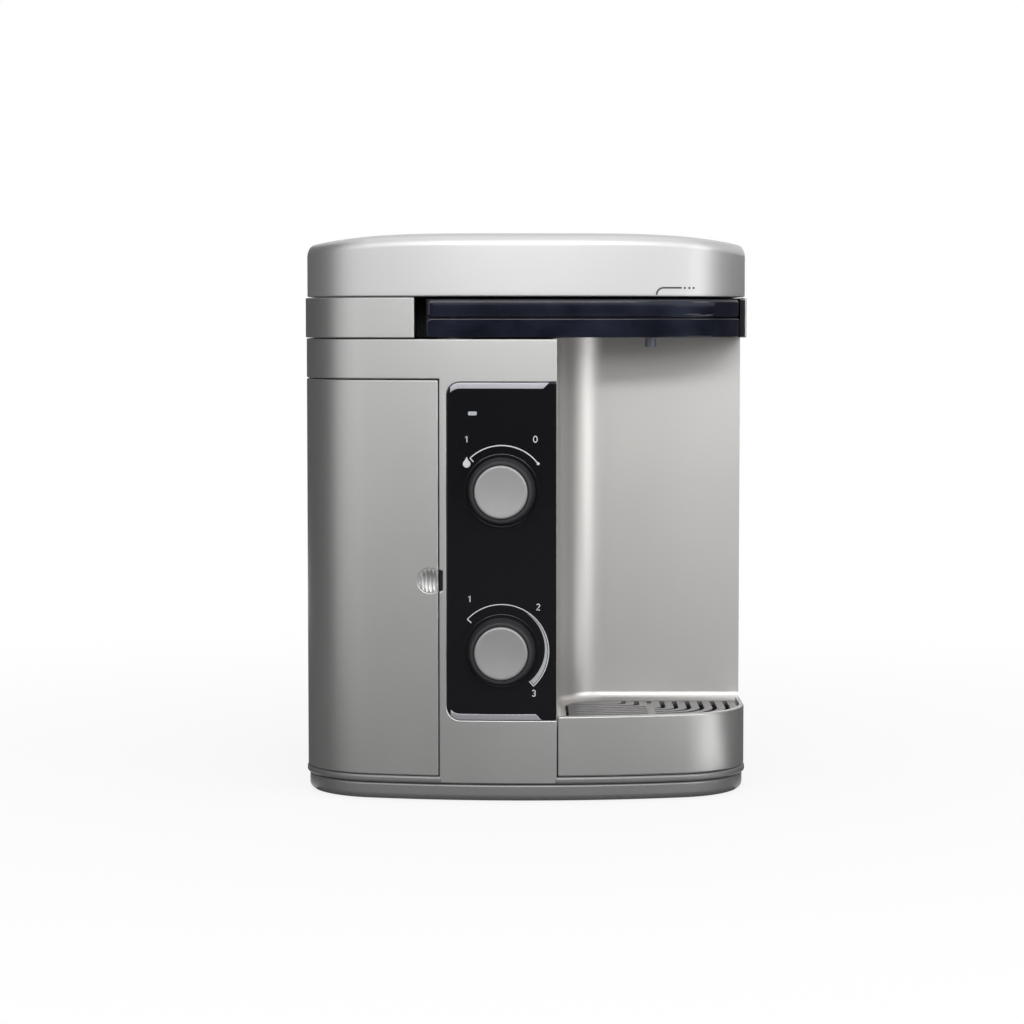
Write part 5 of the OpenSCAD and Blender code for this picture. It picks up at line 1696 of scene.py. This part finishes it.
@dataclass
class Studio:
    """Pale floor, soft lights and the camera.

    A card is its name, its middle, its rotation in degrees, its size and how bright it is. A lamp is its
    name, its middle, the point that it faces, its size and its power in watts. Lengths are in metres.
    """

    layout: Layout
    distance: float = 2.0
    eye_z: float = 0.3328
    eye_x: float = -0.0099
    pitch: float = 0.0659
    focal_px: float = 2935.6
    image_px: float = 1024.0
    sensor: float = 36.0
    floor_size: float = 14.0
    floor_paint: float = 0.9
    floor_fade: Point2 = (0.1, 1.1)
    floor_white: Point2 = (0.85, 1.0)
    card_paint: float = 0.01
    card_roughness: float = 0.9
    ambient: float = 0.3
    cards: tuple[Fixture, ...] = (
        ("card_left", (-0.95, 1.2, 0.61), (0.0, 90.0, 0.0), (1.2, 3.0), 0.06),
        ("card_right", (0.95, 1.22, 0.24), (0.0, -90.0, 0.0), (0.46, 3.2), 0.06),
        ("card_back_left", (-0.58, 1.5, 0.51), (90.0, 0.0, 0.0), (0.84, 1.0), 0.06),
        ("card_back_right", (0.58, 1.5, 0.19), (90.0, 0.0, 0.0), (0.84, 0.36), 0.06),
        ("card_front", (0.0, -3.0, 0.22), (90.0, 0.0, 0.0), (3.4, 0.42), 0.0),
        ("card_front_right", (2.0, -1.75, 0.2), (90.0, 0.0, 52.0), (2.9, 0.38), 0.0),
        ("card_floor", (0.0, -1.56, 0.0015), (0.0, 0.0, 0.0), (1.9, 2.88), 0.03),
        ("card_floor_left", (-0.56, 0.44, 0.0015), (0.0, 0.0, 0.0), (0.78, 1.12), 0.06),
        ("card_floor_right", (0.56, 0.4, 0.0015), (0.0, 0.0, 0.0), (0.78, 1.2), 0.06),
        ("floor_gap", (0.78, -0.378, 0.0025), (0.0, 0.0, -20.0), (1.2, 0.13), 2.4))
    lamps: tuple[Fixture, ...] = (
        ("front_softbox", (0.0, -3.0, 1.5), (0.0, 0.0, 0.25), (2.8, 1.8), 28.0),
        ("key_softbox", (0.0, -3.0, 1.22), (0.0, 0.0, 0.25), (2.4, 0.24), 24.0),
        ("left_softbox", (-2.3, -2.2, 1.2), (0.0, 0.0, 0.25), (1.3, 1.4), 7.0),
        ("right_softbox", (2.4, -1.8, 1.2), (0.0, 0.0, 0.2), (1.3, 1.3), 17.0),
        ("right_strip", (0.84, -0.95, 0.2), (0.05, -0.1, 0.2), (0.4, 0.16), 1.2),
        ("top_softbox", (0.0, -0.3, 2.3), (0.0, 0.0, 0.3), (2.2, 2.0), 11.0),
        ("rear_softbox", (0.0, 2.0, 2.2), (0.0, 0.1, 0.2), (2.4, 1.0), 13.0))

    def build(self) -> None:
        """Set the camera, the floor, the cards, the lamps and the world."""
        scene = bpy.context.scene
        scene.view_settings.view_transform = "Standard"
        self._camera(scene)
        self._floor()
        for card in self.cards:
            self._card(*card)
        for lamp in self.lamps:
            self._lamp(*lamp)
        self._world(scene)

    def _camera(self, scene: bpy.types.Scene) -> None:
        """Stand the camera in front of the cabinet at the angle of the photograph.

        Args:
            scene: Scene that takes the camera.
        """
        data = bpy.data.cameras.new("camera")
        data.sensor_width = self.sensor
        data.lens = data.sensor_width * self.focal_px / self.image_px
        eye = bpy.data.objects.new("camera", data)
        scene.collection.objects.link(eye)
        eye.location = (self.eye_x, self.layout.plan.front_y * MM - self.distance, self.eye_z)
        eye.rotation_euler = (QUARTER - self.pitch, 0.0, 0.0)
        scene.camera = eye

    @staticmethod
    def _sheet(name: str, size: Point2) -> bpy.types.Object:
        """Make a flat stage sheet.

        Args:
            name: Name of the sheet.
            size: Its size.

        Returns:
            The sheet, lying at the origin.
        """
        mesh = bpy.data.meshes.new(name)
        a, b = size[0] / 2, size[1] / 2
        mesh.from_pydata([(x, y, 0) for x, y in rectangle(-a, a, -b, b)], [], [(0, 1, 2, 3)])
        sheet = bpy.data.objects.new(name, mesh)
        bpy.context.scene.collection.objects.link(sheet)
        return sheet

    def _floor(self) -> None:
        """Lay the pale floor, white to the camera and to reflections but with the shadow kept."""
        floor = self._sheet("floor", (self.floor_size, self.floor_size))
        made = bpy.data.materials.new("pale_floor")
        made.use_nodes = True
        tree = made.node_tree
        tree.nodes.clear()
        out = tree.nodes.new("ShaderNodeOutputMaterial")
        mix = tree.nodes.new("ShaderNodeMixShader")
        paint = tree.nodes.new("ShaderNodeBsdfDiffuse")
        paint.inputs["Color"].default_value = (self.floor_paint, self.floor_paint, self.floor_paint, 1.0)
        white = tree.nodes.new("ShaderNodeEmission")
        share = tree.nodes.new("ShaderNodeMath")
        share.operation = "MULTIPLY"
        tree.links.new(self._seen(tree), share.inputs[0])
        tree.links.new(self._far(tree), share.inputs[1])
        tree.links.new(share.outputs[0], mix.inputs[0])
        tree.links.new(paint.outputs[0], mix.inputs[1])
        tree.links.new(white.outputs[0], mix.inputs[2])
        tree.links.new(mix.outputs[0], out.inputs[0])
        floor.data.materials.append(made)

    def _far(self, tree: bpy.types.NodeTree) -> bpy.types.NodeSocket:
        """Make the floor whiter with the distance from the cabinet.

        Args:
            tree: Tree of the floor.

        Returns:
            Socket that says how white the floor is.
        """
        coord, reach = tree.nodes.new("ShaderNodeTexCoord"), tree.nodes.new("ShaderNodeVectorMath")
        reach.operation = "LENGTH"
        fade = tree.nodes.new("ShaderNodeMapRange")
        fade.interpolation_type = "SMOOTHSTEP"
        fade.inputs["From Min"].default_value, fade.inputs["From Max"].default_value = self.floor_fade
        fade.inputs["To Min"].default_value, fade.inputs["To Max"].default_value = self.floor_white
        tree.links.new(coord.outputs["Object"], reach.inputs[0])
        tree.links.new(reach.outputs["Value"], fade.inputs["Value"])
        return fade.outputs[0]

    @staticmethod
    def _seen(tree: bpy.types.NodeTree) -> bpy.types.NodeSocket:
        """Mask the rays that see the background: camera, glossy and transmission.

        Args:
            tree: Tree that takes the nodes.

        Returns:
            Socket that is 1 for those rays.
        """
        path = tree.nodes.new("ShaderNodeLightPath")
        first, second = tree.nodes.new("ShaderNodeMath"), tree.nodes.new("ShaderNodeMath")
        first.operation = second.operation = "MAXIMUM"
        tree.links.new(path.outputs["Is Camera Ray"], first.inputs[0])
        tree.links.new(path.outputs["Is Glossy Ray"], first.inputs[1])
        tree.links.new(first.outputs[0], second.inputs[0])
        tree.links.new(path.outputs["Is Transmission Ray"], second.inputs[1])
        return second.outputs[0]

    def _card(self, name: str, spot: Point3, turn: Point3, size: Point2, level: float) -> None:
        """Stand a card beside the set that only reflections meet.

        Args:
            name: Name of the card.
            spot: Its middle.
            turn: Its rotation in degrees.
            size: Its size.
            level: How bright it is: black at 0, the white of the far floor at 1, a light above that.
        """
        card = self._sheet(name, size)
        card.location = spot
        card.rotation_euler = [math.radians(a) for a in turn]
        card.visible_camera = card.visible_diffuse = card.visible_shadow = False
        made = bpy.data.materials.new(f"{name}_face")
        made.use_nodes = True
        shader = made.node_tree.nodes["Principled BSDF"]
        shader.inputs["Base Color"].default_value = (self.card_paint, self.card_paint, self.card_paint, 1.0)
        shader.inputs["Roughness"].default_value = self.card_roughness
        shader.inputs["Emission Color"].default_value = (1.0, 1.0, 1.0, 1.0)
        shader.inputs["Emission Strength"].default_value = level
        card.data.materials.append(made)

    @staticmethod
    def _lamp(name: str, spot: Point3, target: Point3, size: Point2, power: float) -> None:
        """Hang a soft rectangular light.

        Args:
            name: Name of the light.
            spot: Its middle.
            target: Point that it faces.
            size: Its width and height.
            power: Its power in watts.
        """
        data = bpy.data.lights.new(name, "AREA")
        data.shape = "RECTANGLE"
        data.size, data.size_y = size
        data.energy = power
        lamp = bpy.data.objects.new(name, data)
        bpy.context.scene.collection.objects.link(lamp)
        lamp.location = spot
        lamp.rotation_euler = (Vector(target) - Vector(spot)).to_track_quat("-Z", "Y").to_euler()

    def _world(self, scene: bpy.types.Scene) -> None:
        """Make the world white to the camera and to reflections, and dimmer as light.

        Args:
            scene: Scene that takes the world.
        """
        world = bpy.data.worlds.new("studio")
        scene.world = world
        world.use_nodes = True
        tree = world.node_tree
        back = tree.nodes["Background"]
        back.inputs["Color"].default_value = (1.0, 1.0, 1.0, 1.0)
        level = tree.nodes.new("ShaderNodeMapRange")
        level.inputs["To Min"].default_value = self.ambient
        level.inputs["To Max"].default_value = 1.0
        tree.links.new(self._seen(tree), level.inputs["Value"])
        tree.links.new(level.outputs[0], back.inputs["Strength"])


def main() -> None:
    """Build every sub-assembly, dress the frame and light the set."""
    logging.basicConfig(level=logging.INFO, format="%(name)s: %(message)s")
    layout = Layout()
    Studio(layout).build()
    for part in (Lid(layout), TopBand(layout), FrontPanel(layout), ControlColumn(layout),
                 Knob(layout, "tap", Body.TAP), Knob(layout, "temp", Body.TEMPERATURE), FilterDoor(layout),
                 SidePanels(layout), DispensingBay(layout), DripTray(layout), BasePan(layout),
                 SpoutArm(layout)):
        part.build()
    CarriedNodes().dress()
    bpy.context.view_layer.update()


if __name__ == "__main__":
    main()
